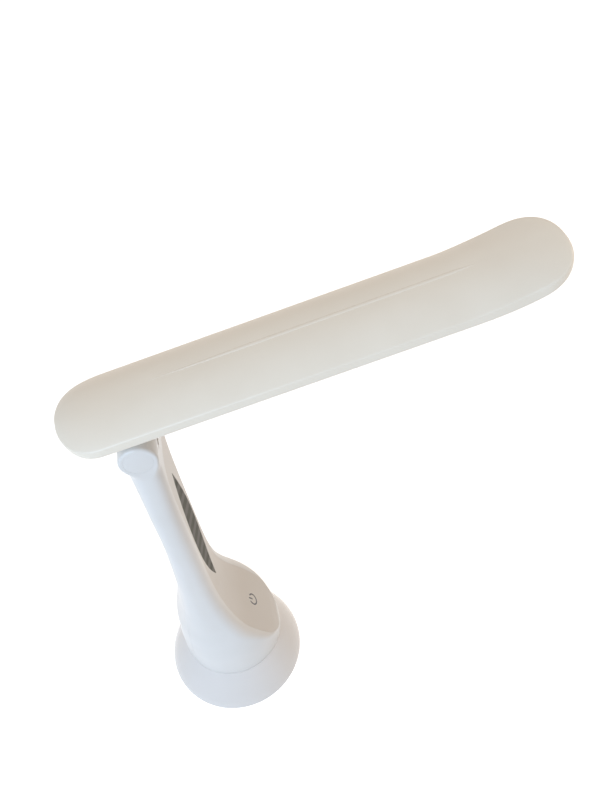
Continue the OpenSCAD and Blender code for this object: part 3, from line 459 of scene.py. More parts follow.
def opened(mesh, columns, reach, low, high):
    """The sheet less its faces within a reach of its middle column, between two heights."""
    bm = bmesh.new()
    bm.from_mesh(mesh)
    doomed = [f for f in bm.faces if -reach <= f.index % columns - columns // 2 < reach
              and low * MM < f.calc_center_median().z < high * MM]
    bmesh.ops.delete(bm, geom=doomed, context="FACES")
    bm.to_mesh(mesh)
    bm.free()
    return mesh


def walled(mesh, wall):
    """A sheet of the body given a wall behind it, towards the middle of the stem."""
    bm = bmesh.new()
    bm.from_mesh(mesh)
    centre = Vector((stem_middle * MM, 0, 0))
    outward = sum(f.calc_area() * f.normal.dot((f.calc_center_median() - centre).xy.to_3d())
                  for f in bm.faces)
    if outward < 0:
        bmesh.ops.reverse_faces(bm, faces=bm.faces)
    bm.to_mesh(mesh)
    bm.free()
    return baked(mesh, "SOLIDIFY", thickness=wall * MM, offset=-1, use_even_offset=True)


def eased(mesh, radius, test=lambda middle: True, angle=50, steps=3):
    """The mesh with its sharp edges rounded, where the edge's middle passes a test."""
    bm = bmesh.new()
    bm.from_mesh(mesh)
    edges = [e for e in bm.edges
             if len(e.link_faces) == 2 and e.calc_face_angle() > math.radians(angle)
             and test((e.verts[0].co + e.verts[1].co) / 2 / MM)]
    made = bmesh.ops.bevel(bm, geom=edges, offset=radius * MM, offset_type="OFFSET", segments=steps,
                           profile=0.5, affect="EDGES", clamp_overlap=False)
    for face in made["faces"]:
        face.smooth = True
    bm.to_mesh(mesh)
    bm.free()
    return mesh


def cut(mesh, *cutters, operation="DIFFERENCE"):
    """The mesh less each cutter, or joined with it."""
    for cutter in cutters:
        tool = shown("tool", cutter)
        mesh = baked(mesh, "BOOLEAN", object=tool, operation=operation, solver="EXACT")
        bpy.data.objects.remove(tool)
    return mesh


def both_sides(line):
    """A row of points from the middle outwards, with its mirror image."""
    return [[x, -y, z] for x, y, z in reversed(line)] + line[(1 if abs(line[0][1]) < 1e-9 else 0):]


bowl_rows = spread(skirt_h, panel_low, 6) + spread(panel_low, shoulder_z, 42)[1:]
body_rows = bowl_rows + spread(shoulder_z, panel_top - panel_round, 40)[1:]
body_rows += [panel_top - panel_round * (1 - math.sin(math.radians(a))) for a in spread(0, 90, 9)[1:]]
body_rows += [(panel_top + stem_top) / 2, stem_top]
middle_steps = 6
support = 0.25  # a row of points this near to a sharp edge keeps its rounding even
hairline = 0.09  # rounding of the edges that meet at a seam


def shell_row(z):
    """Row of points round the front and sides, from the middle of the face to the rear seam."""
    s = section_at(z)
    g, end = panel_half(s), s.split(split_angle + front_lap)
    corner_from = min(max(s.flat, g + 0.6), s.corner_end - 1)
    side_end = max(s.side_end, s.corner_end + 0.5)
    stops = (spread(0, g, middle_steps)
             + spread(g + min(support, (corner_from - g) / 3), corner_from, 3)
             + spread(corner_from, s.corner_end, 12)[1:] + spread(s.corner_end, side_end, 8)[1:]
             + spread(side_end, end - support, 14)[1:] + [end])
    return both_sides([s.at(d) for d in stops])


front_rows = [shell_row(z) for z in body_rows]
front_mesh = opened(skin(front_rows), len(front_rows[0]) - 1, middle_steps, panel_low, panel_top)
front_mesh = eased(walled(front_mesh, shell_wall), hairline, lambda p: p.z < stem_top - 0.1)
piece("front_shell_smooth", front_mesh, satin_abs, "white_shell", "base", "front_shell")


# ---- Front panel ----
# A thin ABS trim clipped into the face's pocket, with a hairline gap all round it. It is
# moulded a shade greyer than the shell, in a blasted mould, so it is duller too.
panel_abs = finish("satin grey-white ABS", "#DDDAD6", "#D8D5D0", 1.1, (0.36, 0.44), 0.006,
                   **{"Specular IOR Level": 0.25})
fit_gap, panel_wall = 0.04, 1.7
inlay_low, inlay_high, inlay_half, inlay_least = 128, 254, 15, 0.4
hole_steps, lens_power = 4, 0.9


def inlay_width(z):
    """Half width of the inlay at a height: a lens, pointed at both ends."""
    t = min(1, max(0, (z - inlay_low) / (inlay_high - inlay_low)))
    return max(inlay_least, inlay_half * math.sin(math.pi * t) ** lens_power)


inlay_rows = spread(inlay_low, inlay_high, 72)
panel_rows = [panel_low + fit_gap] + spread(panel_low, inlay_low, 40)[1:] + inlay_rows[1:]
panel_rows += spread(inlay_high, panel_top - panel_round, 6)[1:]
panel_rows += [panel_top - fit_gap - (panel_round - fit_gap) * (1 - math.sin(math.radians(a)))
               for a in spread(0, 90, 9)[1:]]


def panel_row(z):
    """Row of points across the panel, with the inlay's opening in its middle steps."""
    s = section_at(z)
    g = panel_half(s) - fit_gap
    hole = min(inlay_width(z) + fit_gap, g - 0.2)
    ease = min(support, (g - hole) / 3)
    stops = spread(0, hole, hole_steps) + spread(hole + ease, g - ease, 6) + [g]
    return both_sides([s.at(d) for d in stops])


panel_grid = [panel_row(z) for z in panel_rows]
panel_mesh = opened(skin(panel_grid), len(panel_grid[0]) - 1, hole_steps, inlay_low, inlay_high)
panel_mesh = eased(walled(panel_mesh, panel_wall), hairline)
piece("front_panel_smooth", panel_mesh, panel_abs, "panel", "base", "front_panel")


# ---- Smoky inlay ----
# A lens-shaped sliver of smoke-tinted acrylic set flush in the panel. It carries a plain
# back-printed pattern of slanting bars, seen soft-edged through the tint, and its face is
# etched against glare, so it mirrors nothing.
bar_pitch, bar_slant, bar_fade, mottle_size = 9, 38, (0.46, 0.56), 7


def smoky_acrylic():
    """Soft slanting bars over a cloudy grey tint."""
    material, tree = blank("back-printed smoked acrylic")
    place = add(tree, "ShaderNodeTexCoord", {}).outputs["Object"]
    turned_place = add(tree, "ShaderNodeMapping", {
        "Vector": place, "Rotation": (math.radians(bar_slant), 0, 0), "Scale": (1 / (bar_pitch * MM),) * 3})
    axes = add(tree, "ShaderNodeSeparateXYZ", {0: turned_place.outputs[0]})
    phase = add(tree, "ShaderNodeMath", {0: axes.outputs[2]}, operation="FRACT")
    bars = add(tree, "ShaderNodeMapRange", {
        "Value": phase.outputs[0], "From Min": bar_fade[0], "From Max": bar_fade[1]},
        interpolation_type="SMOOTHSTEP")
    mottle = add(tree, "ShaderNodeTexNoise", {
        "Vector": place, "Scale": 1 / (mottle_size * MM), "Detail": 3}).outputs[0]
    shade = add(tree, "ShaderNodeMix", {
        0: mottle, 6: linear("#6A6C6B"), 7: linear("#8C8E8B")}, data_type="RGBA")
    print_tone = add(tree, "ShaderNodeMix", {
        0: bars.outputs[0], 6: shade.outputs[2], 7: linear("#8E8F8E")}, data_type="RGBA")
    gloss = add(tree, "ShaderNodeMapRange", {"Value": mottle, "To Min": 0.2, "To Max": 0.28})
    body = add(tree, "ShaderNodeBsdfPrincipled", {
        "Base Color": print_tone.outputs[2], "Roughness": gloss.outputs[0],
        "Specular IOR Level": 0.0})
    add(tree, "ShaderNodeOutputMaterial", {"Surface": body.outputs[0]})
    return material


inlay_wall, trim_edge = 0.6, 0.12
inlay_grid = []
for z in inlay_rows:
    s, wide = section_at(z), inlay_width(z)
    stops = spread(0, max(wide - support, wide / 2), 6) + [wide]
    inlay_grid.append(both_sides([s.at(d) for d in stops]))
inlay_mesh = eased(walled(skin(inlay_grid), inlay_wall), trim_edge, steps=2)
piece("stem_inlay_lens", inlay_mesh, smoky_acrylic(), "smoke", "base", "stem_inlay")


# ---- Power symbol ----
# The mark of the touch switch, an open ring with a bar, pad-printed on the panel over the
# copper touch pad. The grey ink lies as a thin film, a little glossier than the panel.
symbol_ink = finish("glossy grey print", "#5A5B5E", "#535457", 0.8, (0.25, 0.35), 0.004)
symbol_z, symbol_r, symbol_line, symbol_gap = 75.7, 4.9, 1.2, 34
ink_proud, ink_depth, bar_from = 0.06, 0.2, 0.6
face_rise = 0.83  # height gained for each millimetre up the sloping face


def on_face(y, rise):
    """Point just proud of the face, at a distance across and up it from the symbol's middle."""
    z = symbol_z + rise * face_rise
    return along(FRONT, z) + ink_proud, y, z


def stroke(line, half):
    """Strip of ink along a line of places on the face."""
    rows = []
    for i, (y, rise) in enumerate(line):
        (y0, r0), (y1, r1) = line[max(i - 1, 0)], line[min(i + 1, len(line) - 1)]
        ahead = Vector((y1 - y0, r1 - r0)).normalized() * half
        rows.append([on_face(y - ahead.y, rise + ahead.x), on_face(y, rise),
                     on_face(y + ahead.y, rise - ahead.x)])
    return walled(skin(rows), ink_depth)


ring = symbol_r - symbol_line / 2
arc = [(ring * math.sin(math.radians(a)), ring * math.cos(math.radians(a)))
       for a in spread(symbol_gap, 360 - symbol_gap, 60)]
bar = [(0, h) for h in spread(bar_from, symbol_r, 8)]
symbol_mesh = cut(stroke(arc, symbol_line / 2), stroke(bar, symbol_line / 2), operation="UNION")
piece("power_symbol_print", symbol_mesh, symbol_ink, "smoke", "base", "power_symbol")


# ---- Rear cover ----
# The back of the body and stem, moulded like the front shell and clipped to it along a seam
# down each side. The socket and the charge lamp look out through it.
rear_lap, rear_top_gap = 1.2, 0.3
socket_gap, drill_reach = 0.15, 6


def rear_row(z):
    """Row of points round the back, from one side's seam to the other's."""
    s = section_at(z)
    start = s.split(split_angle + rear_lap)
    line = [s.at(d) for d in [start] + spread(start + support, s.lengths[-1], 22)]
    return line + [[x, -y, h] for x, y, h in reversed(line[:-1])]


rear_rows = bowl_rows + spread(shoulder_z, stem_top - rear_top_gap, 44)[1:]
rear_mesh = walled(skin([rear_row(z) for z in rear_rows]), shell_wall)
bore_line = [(0, -drill_reach), (socket_r + socket_gap, -drill_reach),
             (socket_r + socket_gap, drill_reach), (0, drill_reach)]
bore = turned(rounded(bore_line, 0.01, 1), 64, facing_back)
guide_line = [(0, -drill_reach), (lamp_hole, -drill_reach), (lamp_hole, drill_reach), (0, drill_reach)]
guide = turned(guide_line, 40, Matrix.Translation((0, lamp_y, 0)) @ facing_back)
rear_mesh = cut(eased(rear_mesh, trim_edge), bore, guide)
piece("rear_cover_smooth", rear_mesh, satin_abs, "white_shell", "base", "rear_cover")


# ---- Hinge block ----
# The stem's top moulding: it fills the stem's end and grows into the round barrel of the hinge,
# notched for the head's knuckle. Same satin ABS, its edges softer towards the stem.
pivot = Vector((-24.3, 0, 302))
barrel_r, barrel_half, barrel_bore, rim_round = 10.8, 27.5, 8, 1.6
notch_half, notch_r, bore_from, cut_reach = 12.4, 11, 13.1, 30
blend_top = pivot.z - 3  # the stem's outline has turned into the barrel's by here
block_edge, neck_round = 0.08, 0.9
back_x, front_x = along(BACK, stem_top), along(FRONT, stem_top)
stem_edge = along(EDGE, stem_top)
turn_x, side_power = turn_place(stem_top), 2 / along(SQUARE, stem_top)
back_angle = math.degrees(math.acos((back_x - pivot.x) / barrel_r))
front_angle = -math.degrees(math.acos((front_x - pivot.x) / barrel_r))


def on_barrel(angle):
    """Place on the barrel's circle, along X and Z."""
    t = math.radians(angle)
    return pivot.x + barrel_r * math.cos(t), pivot.z + barrel_r * math.sin(t)


side_line = [(back_x, z) for z in spread(stem_top, on_barrel(-back_angle)[1], 12)]
side_line += [on_barrel(a) for a in spread(360 - back_angle, front_angle, 90)[1:]]
side_line += [(front_x, z) for z in spread(on_barrel(front_angle)[1], stem_top, 10)[1:]]
side_line = softened(side_line, neck_round)
side_line[0], side_line[-1] = (back_x, stem_top), (front_x, stem_top)
top_index = max(range(len(side_line)), key=lambda i: side_line[i][1])


def shrink(radius, depth):
    """How far an edge rounded to a radius draws in at a depth below its face."""
    return radius - math.sqrt(max(radius ** 2 - max(radius - depth, 0) ** 2, 0))


def block_row(turn):
    """Outline of the block across the hinge axis, from its side, at 0, to its middle, at 90."""
    y = barrel_half * max(math.cos(math.radians(turn)), 0) ** side_power
    back_in = (turn_x - back_x) * (1 - math.sin(math.radians(turn)) ** side_power)
    front_in, rim_in = shrink(stem_edge, barrel_half - y), shrink(rim_round, barrel_half - y)
    row = []
    for i, (x, z) in enumerate(side_line):
        a, b = side_line[max(i - 1, 0)], side_line[min(i + 1, len(side_line) - 1)]
        along_line = Vector((b[0] - a[0], b[1] - a[1])).normalized()
        inward = Vector((along_line.y, -along_line.x))
        rise = min(1, max(0, (z - stem_top) / (blend_top - stem_top)))
        share = 1 - rise * rise * (3 - 2 * rise)
        stem_in = back_in if i < top_index else front_in
        move = inward * (share * stem_in + (1 - share) * rim_in)
        if z < stem_top + 0.01:
            move.y = 0
        row.append((x + move.x, y, z + move.y))
    return row


side_angles = [0, 1.5, 3, 5, 7.5, 10.5, 14, 18, 23, 29, 36, 45, 56, 68, 80]
half_block = [block_row(t) for t in side_angles]
block_rows = half_block + [[(x, -y, z) for x, y, z in row] for row in reversed(half_block)]


def laddered(rows):
    """Closed mesh of rows of a symmetric outline, its first and last rows filled across."""
    mesh = skin(rows, False, True)
    bm = bmesh.new()
    bm.from_mesh(mesh)
    for row in (rows[0], rows[-1]):
        pairs = [(row[i], row[-1 - i]) for i in range(len(row) // 2)]
        corners = [[bm.verts.new(Vector(p) * MM) for p in pair] for pair in pairs]
        for a, b in zip(corners, corners[1:]):
            bm.faces.new((a[0], b[0], b[1], a[1]))
    return welded(bm, mesh)


def box_mesh(low, high):
    """Closed box between two corners in millimetres."""
    (x0, y0, z0), (x1, y1, z1) = low, high
    return laddered([[(x0, y0, z), (x1, y0, z), (x1, y1, z), (x0, y1, z)] for z in (z0, z1)])


across = Matrix.Translation(pivot) @ Matrix.Rotation(-math.pi / 2, 4, "X")
notch_line = [(0, -notch_half), (notch_r, -notch_half), (notch_r, notch_half), (0, notch_half)]
notch = turned(notch_line, 96, across)
notch_box = box_mesh((pivot.x - 20, -notch_half, pivot.z - notch_r * 0.8),
                     (pivot.x + 20, notch_half, pivot.z + cut_reach))
bores = []
for side in (-1, 1):
    near, far = side * bore_from, side * cut_reach
    bores.append(turned([(0, near), (barrel_bore, near), (barrel_bore, far), (0, far)], 96, across))
block_mesh = cut(laddered(block_rows), notch_box, notch, *bores)
block_mesh = eased(block_mesh, block_edge,
                   lambda p: p.z > stem_top + 0.5 and abs(p.y) < notch_half + 0.1, 60)
piece("hinge_block_smooth", block_mesh, satin_abs, "white_shell", "base", "hinge_block")


# ---- Hinge ----
# A hollow steel pin turns in two brass hubs and is clamped by a nut against spring washers,
# so the head stays where it is put. Snap-in caps close the barrel's ends. Brass from the lathe
# is yellow and bright, with fine tool marks.
brass = finish("turned brass", "#C9A55A", "#B8924A", 0.5, (0.22, 0.36), 0.01, Metallic=1)
dress(brass, "brass", "hub_near", "hub_far")
dress(zinc_steel, "steel", "hinge_pin", "friction_washers", "hinge_nut")
cap_r, cap_in, cap_edge = 7.97, barrel_half - 1.8, 0.1
for side, node in ((-1, "barrel_cap_near"), (1, "barrel_cap_far")):
    cap_line = rounded([(0, cap_in), (cap_r, cap_in), (cap_r, barrel_half), (0, barrel_half)], cap_edge, 3)
    cap_place = Matrix.Translation(pivot) @ Matrix.Rotation(-side * math.pi / 2, 4, "X")
    piece(node + "_disc", turned(cap_line, 96, cap_place), satin_abs, "white_shell", "base", node)


# ---- Head knuckle ----
# The head's half of the hinge: a white nylon barrel on a neck, screwed up into the head shell.
# Nylon is waxier and slightly warmer than the ABS around it.
white_nylon = finish("white nylon", "#E2E0DA", "#DBD8D1", 0.8, (0.34, 0.44), 0.01)
rest_tilt = 12.8  # degrees that the head points above level
head_frame = Matrix.Translation(pivot) @ Matrix.Rotation(-math.radians(rest_tilt), 4, "Y")
knuckle_r, knuckle_half, knuckle_bore, knuckle_edge = 10.6, 12.3, 4, 0.12
neck_half, neck_low, neck_edge = 6, 4.5, 0.4
under_gap, frame_t, flange_t, flange_half = 14, 2, 2.4, 12.5
flange_low = under_gap + frame_t + 0.05


def placed(mesh, matrix):
    """The mesh moved by a matrix in millimetres, into its final place."""
    mesh.transform(Matrix.Scale(MM, 4) @ matrix @ Matrix.Scale(1 / MM, 4))
    return mesh


knuckle_ring = [(knuckle_bore, 0), (knuckle_bore, -knuckle_half), (knuckle_r, -knuckle_half),
                (knuckle_r, knuckle_half), (knuckle_bore, knuckle_half), (knuckle_bore, 0)]
knuckle_mesh = turned(rounded(knuckle_ring, knuckle_edge, 4)[:-1], 96,
                      Matrix.Rotation(-math.pi / 2, 4, "X"), True)
neck = box_mesh((-neck_half, -knuckle_half + 0.5, neck_low),
                (neck_half, knuckle_half - 0.5, under_gap + frame_t + 0.5))
flange = box_mesh((-flange_half, -knuckle_half, flange_low),
                  (flange_half, knuckle_half, flange_low + flange_t))
knuckle_mesh = cut(knuckle_mesh, eased(neck, neck_edge), flange, operation="UNION")
piece("head_knuckle_smooth", placed(knuckle_mesh, head_frame), white_nylon,
      "white_shell", "head", "head_knuckle")


# ---- Head shell ----
# The long cover of the light head: one thin ABS moulding, low domed, with an upright rim and
# a tip that curls up. A finer satin than the stem, so the dome shows broad soft highlights.
head_abs = finish("fine satin white ABS", "#F0E9DB", "#EAE2D3", 1.3, (0.3, 0.38), 0.005)
head_back, head_front, head_half, head_wall = 34.8, 245, 27.9, 2
end_length, back_power, front_power, dome_power = 24, 2.3, 2.4, 2.2
rim_h, crest_h, curl_from, rear_length = 5.3, 14, 183, 22
tip_under, tip_rim, tip_crest = 11, 11 - 2.3, 1.2
rear_under, rear_rim, rear_crest = 5.5, 5, -1.5
under_power, rim_power, rear_power = 2.6, 1.55, 2.2
edge_fillet, lip_fillet, near_edge = 1.4, 0.5, 0.8


def unit(t):
    """The value, kept from 0 to 1."""
    return min(1, max(0, t))


def tip(u):
    """How far a place lies along the curled tip, from 0 to 1."""
    return unit((u - curl_from) / (head_front - curl_from))


def rear(u):
    """How far a place lies into the rounding of the head's rear, from 0 to 1."""
    return unit((rear_length - head_back - u) / rear_length) ** rear_power


def head_under(u):
    """Height of the rim's lower edge."""
    return under_gap + tip_under * tip(u) ** under_power + rear_under * rear(u)


def head_rim(u):
    """Height of the rim's upper edge, where the dome starts."""
    return under_gap + rim_h + tip_rim * tip(u) ** rim_power + rear_rim * rear(u)


def head_crest(u):
    """Height of the dome's middle."""
    return under_gap + crest_h + tip_crest * tip(u) + rear_crest * rear(u)


def head_width(u, inset):
    """Half width in plan, drawn in by an inset."""
    a, b = -head_back + inset, head_front - inset
    s, t = unit((a + end_length - u) / end_length), unit((u - b + end_length) / end_length)
    rear_share = (1 - s ** back_power) ** (1 / back_power)
    return (head_half - inset) * rear_share * (1 - t ** front_power) ** (1 / front_power)


def head_top(u, v, inset=0, drop=0):
    """Height of the dome over a place in plan."""
    half = max(head_width(u, inset), 1e-6)
    low = head_rim(u) - drop / 4
    high = low + (head_crest(u) - drop - low) * (1 - (1 - min(1, half / head_half)) ** 2)
    return low + (high - low) * (1 - min(1, abs(v) / half) ** dome_power)


def head_places(inset):
    """Places along the head, packed towards its two ends."""
    a, b = -head_back + inset, head_front - inset
    rear_end = [a + end_length * (1 - math.cos(math.radians(t))) for t in spread(0, 90, 26)]
    front_end = [b - end_length * (1 - math.sin(math.radians(t))) for t in spread(0, 90, 26)]
    return rear_end + spread(rear_end[-1], front_end[0], 64)[1:-1] + front_end


def head_plan(inset):
    """Closed plan outline, with the outward direction at each point."""
    side = [(u, head_width(u, inset)) for u in head_places(inset)]
    ring = side + [(u, -v) for u, v in reversed(side[1:-1])]
    plan = []
    for i, (u, v) in enumerate(ring):
        a, b = ring[i - 1], ring[(i + 1) % len(ring)]
        ahead = Vector((b[0] - a[0], b[1] - a[1])).normalized()
        plan.append((Vector((u, v)), Vector((-ahead.y, ahead.x))))
    return plan


dome_from = 14  # the dome's points are spaced by a cosine, from this angle on
dome_shares = [math.cos(math.radians(a)) / math.cos(math.radians(dome_from))
               for a in spread(dome_from, 90, 26)[1:]]
inner_shares = [math.sin(math.radians(a)) for a in spread(0, 88, 12)]
head_rows = []
for (outer, out), (inner, _) in zip(head_plan(0), head_plan(head_wall)):
    row = [(inner.x, inner.y * f, head_top(inner.x, inner.y * f, head_wall, head_wall))
           for f in inner_shares]
    inner_top = head_rim(inner.x) - head_wall / 4 - 0.2
    row += [(inner.x, inner.y, z) for z in spread(inner_top, head_under(inner.x), 3)]
    base = head_under(outer.x)
    for a in spread(90, 0, 4):
        t = math.radians(a)
        p = outer - out * lip_fillet * (1 - math.cos(t))
        row.append((p.x, p.y, base + lip_fillet * (1 - math.sin(t))))
    near = outer - out * near_edge
    slope = max(0.05, (head_top(near.x, near.y) - head_rim(outer.x)) / near_edge)
    turn = math.pi / 2 - math.atan(slope)
    rim = head_rim(outer.x) - edge_fillet * math.tan(turn / 2)
    row += [(outer.x, outer.y, z) for z in spread(base + lip_fillet, rim, 5)[1:-1]]
    for t in spread(0, turn, 6):
        p = outer - out * edge_fillet * (1 - math.cos(t))
        row.append((p.x, p.y, rim + edge_fillet * math.sin(t)))
    last = row[-1]
    lift = last[2] - head_top(last[0], last[1])
    for f in dome_shares:
        v = last[1] * f
        row.append((last[0], v, head_top(last[0], v) + lift * f ** 8))
    head_rows.append(row)
head_mesh = placed(skin(head_rows, True), head_frame)
piece("head_shell_smooth", head_mesh, head_abs, "white_shell", "head", "head_shell")


# ---- Crest line ----
# A slim raised bead along the crest of the head, moulded in and buffed, so it reads as a fine
# bright line that tapers out at both ends.
bead_abs = finish("buffed white ABS", "#EEE6D8", "#EAE2D3", 1.5, (0.2, 0.26), 0.003)
crest_from, crest_to, crest_w, crest_proud, crest_sunk = 18, 198, 2.4, 0.35, 0.1
rear_taper, tip_taper, crest_least = 0.3, 0.06, 0.02
crest_rows = []
for t in spread(0, 1, 72):
    u = crest_from + (crest_to - crest_from) * t
    taper = max(crest_least, min(1, t / rear_taper, (1 - t) / tip_taper)) ** 0.8
    half, top = taper * crest_w / 2, head_crest(u)
    line = [(u, half * math.cos(math.radians(a)), top + crest_proud * taper * math.sin(math.radians(a)))
            for a in spread(0, 180, 12)]
    crest_rows.append(line + [(u, -half, top - crest_sunk), (u, half, top - crest_sunk)])
piece("crest_bead", placed(laddered(crest_rows), head_frame), bead_abs, "white_shell", "head", "crest_line")


# ---- Bottom frame and its screws ----
# A flat ABS plate inside the head's rim, with the light window in it, held by three small
# cross-head screws; four more hold the knuckle above it.
frame_gap = head_wall + 0.15
window_from, window_to, window_half, window_round = 26, 192, 17.5, 4
frame_screws = [(-24, 0), (206, 17), (206, -17)]
knuckle_screws = [(x * 9.5, y * 9) for x in (-1, 1) for y in (-1, 1)]
screw_hole, screw_head, screw_sunk, driver_gap = 2.15, 2, 0.8, 0.15
cut_low, cut_high = 5, 25  # the cutters reach past both faces of the plate


def slab(x0, x1, half, radius, z0, z1):
    """Closed plate with rounded corners."""
    corners = [(x1 - radius, half - radius, 0), (x0 + radius, half - radius, 90),
               (x0 + radius, -half + radius, 180), (x1 - radius, -half + radius, 270)]
    ring = [(x + radius * math.cos(math.radians(start + a)), y + radius * math.sin(math.radians(start + a)))
            for x, y, start in corners for a in spread(0, 90, 8)]
    quarter = len(ring) // 4
    return laddered([[(x, y, z) for x, y in ring[quarter:] + ring[:quarter]] for z in (z0, z1)])


def drill(u, v, radius, top):
    """Cutter for a round hole up through the plate to a height."""
    return turned([(0, cut_low), (radius, cut_low), (radius, top), (0, top)], 32,
                  Matrix.Translation((u, v, 0)))


frame_rings = []  # the lower edge is rounded by its first rings
for rise, inset in ((0, 0.3), (0.09, 0.09), (0.3, 0), (frame_t, 0)):
    frame_rings.append([(p.x, p.y * (1 - inset / head_half), head_under(p.x) + rise)
                        for p, _ in head_plan(frame_gap)])
window = slab(window_from, window_to, window_half, window_round, cut_low, cut_high)
neck_hole = box_mesh((-neck_half - 0.5, -knuckle_half, cut_low), (neck_half + 0.5, knuckle_half, cut_high))
drills = [drill(u, v, screw_hole, head_under(u) + screw_sunk) for u, v in frame_screws]
drills += [drill(u, v, screw_hole + driver_gap, cut_high) for u, v in knuckle_screws]
frame_mesh = cut(laddered(frame_rings), window, neck_hole, *drills)
piece("light_frame_smooth", placed(frame_mesh, head_frame), head_abs, "white_shell", "head", "light_frame")


def screw_tree():
    """Geometry nodes: a cross-head screw at every point, its axis along the point's aim."""
    tree = bpy.data.node_groups.new("cross-head screws", "GeometryNodeTree")
    tree.interface.new_socket("Points", in_out="INPUT", socket_type="NodeSocketGeometry")
    for name in ("Head radius", "Head height", "Shank radius", "Shank length", "Slot width"):
        tree.interface.new_socket(name, in_out="INPUT", socket_type="NodeSocketFloat")
    tree.interface.new_socket("Metal", in_out="INPUT", socket_type="NodeSocketMaterial")
    tree.interface.new_socket("Screws", in_out="OUTPUT", socket_type="NodeSocketGeometry")
    given = add(tree, "NodeGroupInput", {}).outputs
    crown_share, rim_share, crown_top, shank_from, slot_share = 0.35, 0.65, 0.72, 0.45, 1.15
    figures = dict(given.items())
    for name, kind, a, b in (
            ("crown height", "MULTIPLY", "Head height", crown_share),
            ("crown radius", "MULTIPLY", "Head radius", crown_top),
            ("crown place", "MULTIPLY", "crown height", -1),
            ("rim height", "MULTIPLY", "Head height", rim_share),
            ("rim place", "MULTIPLY", "Head height", -(crown_share + rim_share / 2)),
            ("shank part", "MULTIPLY", "Shank length", shank_from),
            ("shank drop", "ADD", "Head height", "shank part"),
            ("shank place", "MULTIPLY", "shank drop", -1),
            ("slot length", "MULTIPLY", "Head radius", slot_share)):
        figures[name] = add(tree, "ShaderNodeMath", {
            0: figures[a], 1: figures.get(b, b)}, operation=kind).outputs[0]
    rim = add(tree, "GeometryNodeMeshCylinder", {
        "Vertices": 32, "Radius": given["Head radius"], "Depth": figures["rim height"]}).outputs["Mesh"]
    crown_part = add(tree, "GeometryNodeMeshCone", {
        "Vertices": 32, "Radius Top": figures["crown radius"],
        "Radius Bottom": given["Head radius"], "Depth": figures["crown height"]}).outputs["Mesh"]
    shank = add(tree, "GeometryNodeMeshCylinder", {
        "Vertices": 24, "Radius": given["Shank radius"], "Depth": given["Shank length"]}).outputs["Mesh"]
    solid = add(tree, "GeometryNodeMeshBoolean", {}, operation="UNION")
    for part, height in ((rim, "rim place"), (crown_part, "crown place"), (shank, "shank place")):
        offset = add(tree, "ShaderNodeCombineXYZ", {"Z": figures[height]}).outputs[0]
        moved = add(tree, "GeometryNodeTransform", {"Geometry": part, "Translation": offset}).outputs[0]
        tree.links.new(moved, solid.inputs["Mesh 2"])
    slots = add(tree, "GeometryNodeMeshBoolean", {"Mesh 1": solid.outputs[0]}, operation="DIFFERENCE")
    for wide, deep in (("slot length", "Slot width"), ("Slot width", "slot length")):
        size = add(tree, "ShaderNodeCombineXYZ", {
            "X": figures[wide], "Y": figures[deep], "Z": given["Head height"]}).outputs[0]
        bar = add(tree, "GeometryNodeMeshCube", {"Size": size}).outputs["Mesh"]
        tree.links.new(bar, slots.inputs["Mesh 2"])
    aim = add(tree, "GeometryNodeInputNamedAttribute", {
        "Name": "aim"}, data_type="FLOAT_VECTOR").outputs[0]
    turn = add(tree, "FunctionNodeAlignRotationToVector", {"Vector": aim}, axis="Z").outputs[0]
    copies = add(tree, "GeometryNodeInstanceOnPoints", {
        "Points": given["Points"], "Instance": slots.outputs[0], "Rotation": turn}).outputs[0]
    real = add(tree, "GeometryNodeRealizeInstances", {"Geometry": copies}).outputs[0]
    dressed = add(tree, "GeometryNodeSetMaterial", {
        "Geometry": real, "Material": given["Metal"]}).outputs[0]
    add(tree, "NodeGroupOutput", {"Screws": dressed})
    return tree


def screws(name, places, sizes, node):
    """Screws facing down, their heads at places in the head's frame, made by geometry nodes."""
    mesh = bpy.data.meshes.new(name)
    mesh.from_pydata([(head_frame @ Vector(p)) * MM for p in places], [], [])
    attribute = mesh.attributes.new("aim", "FLOAT_VECTOR", "POINT")
    for item in attribute.data:
        item.vector = head_frame.to_3x3() @ Vector((0, 0, -1))
    obj = shown(name, mesh)
    modifier = obj.modifiers.new("screws", "NODES")
    modifier.node_group = screw_group
    for socket in screw_group.interface.items_tree:
        if socket.in_out == "INPUT" and socket.name in sizes:
            modifier[socket.identifier] = sizes[socket.name]
    piece(name, plain(obj), zinc_steel, "steel", "head", node)


screw_group = screw_tree()
small_screw = {"Head radius": screw_head * MM, "Head height": 0.7 * MM, "Shank radius": 1.1 * MM,
               "Shank length": 4.5 * MM, "Slot width": 0.5 * MM, "Metal": zinc_steel}
large_screw = {**small_screw, "Head height": 1.4 * MM, "Shank length": 6 * MM}
frame_screw_gap, knuckle_screw_drop = 0.05, 1.35
screws("frame_screw_set", [(u, v, head_under(u) + frame_screw_gap) for u, v in frame_screws],
       small_screw, "frame_screws")
screws("knuckle_screw_set", [(u, v, under_gap + frame_t - knuckle_screw_drop) for u, v in knuckle_screws],
       large_screw, "knuckle_screws")


# ---- Diffuser ----
# An opal acrylic lens behind the window. Opal pigment and a fine etch scatter the light, so
# the chips above it show only as the faintest warm spots.
opal = finish("etched opal acrylic", "#EFEFEA", "#E9E9E3", 0.6, (0.42, 0.55), 0.012,
              **{"Transmission Weight": 0.25, "IOR": 1.49})
dress(opal, "diffuser", "diffuser")


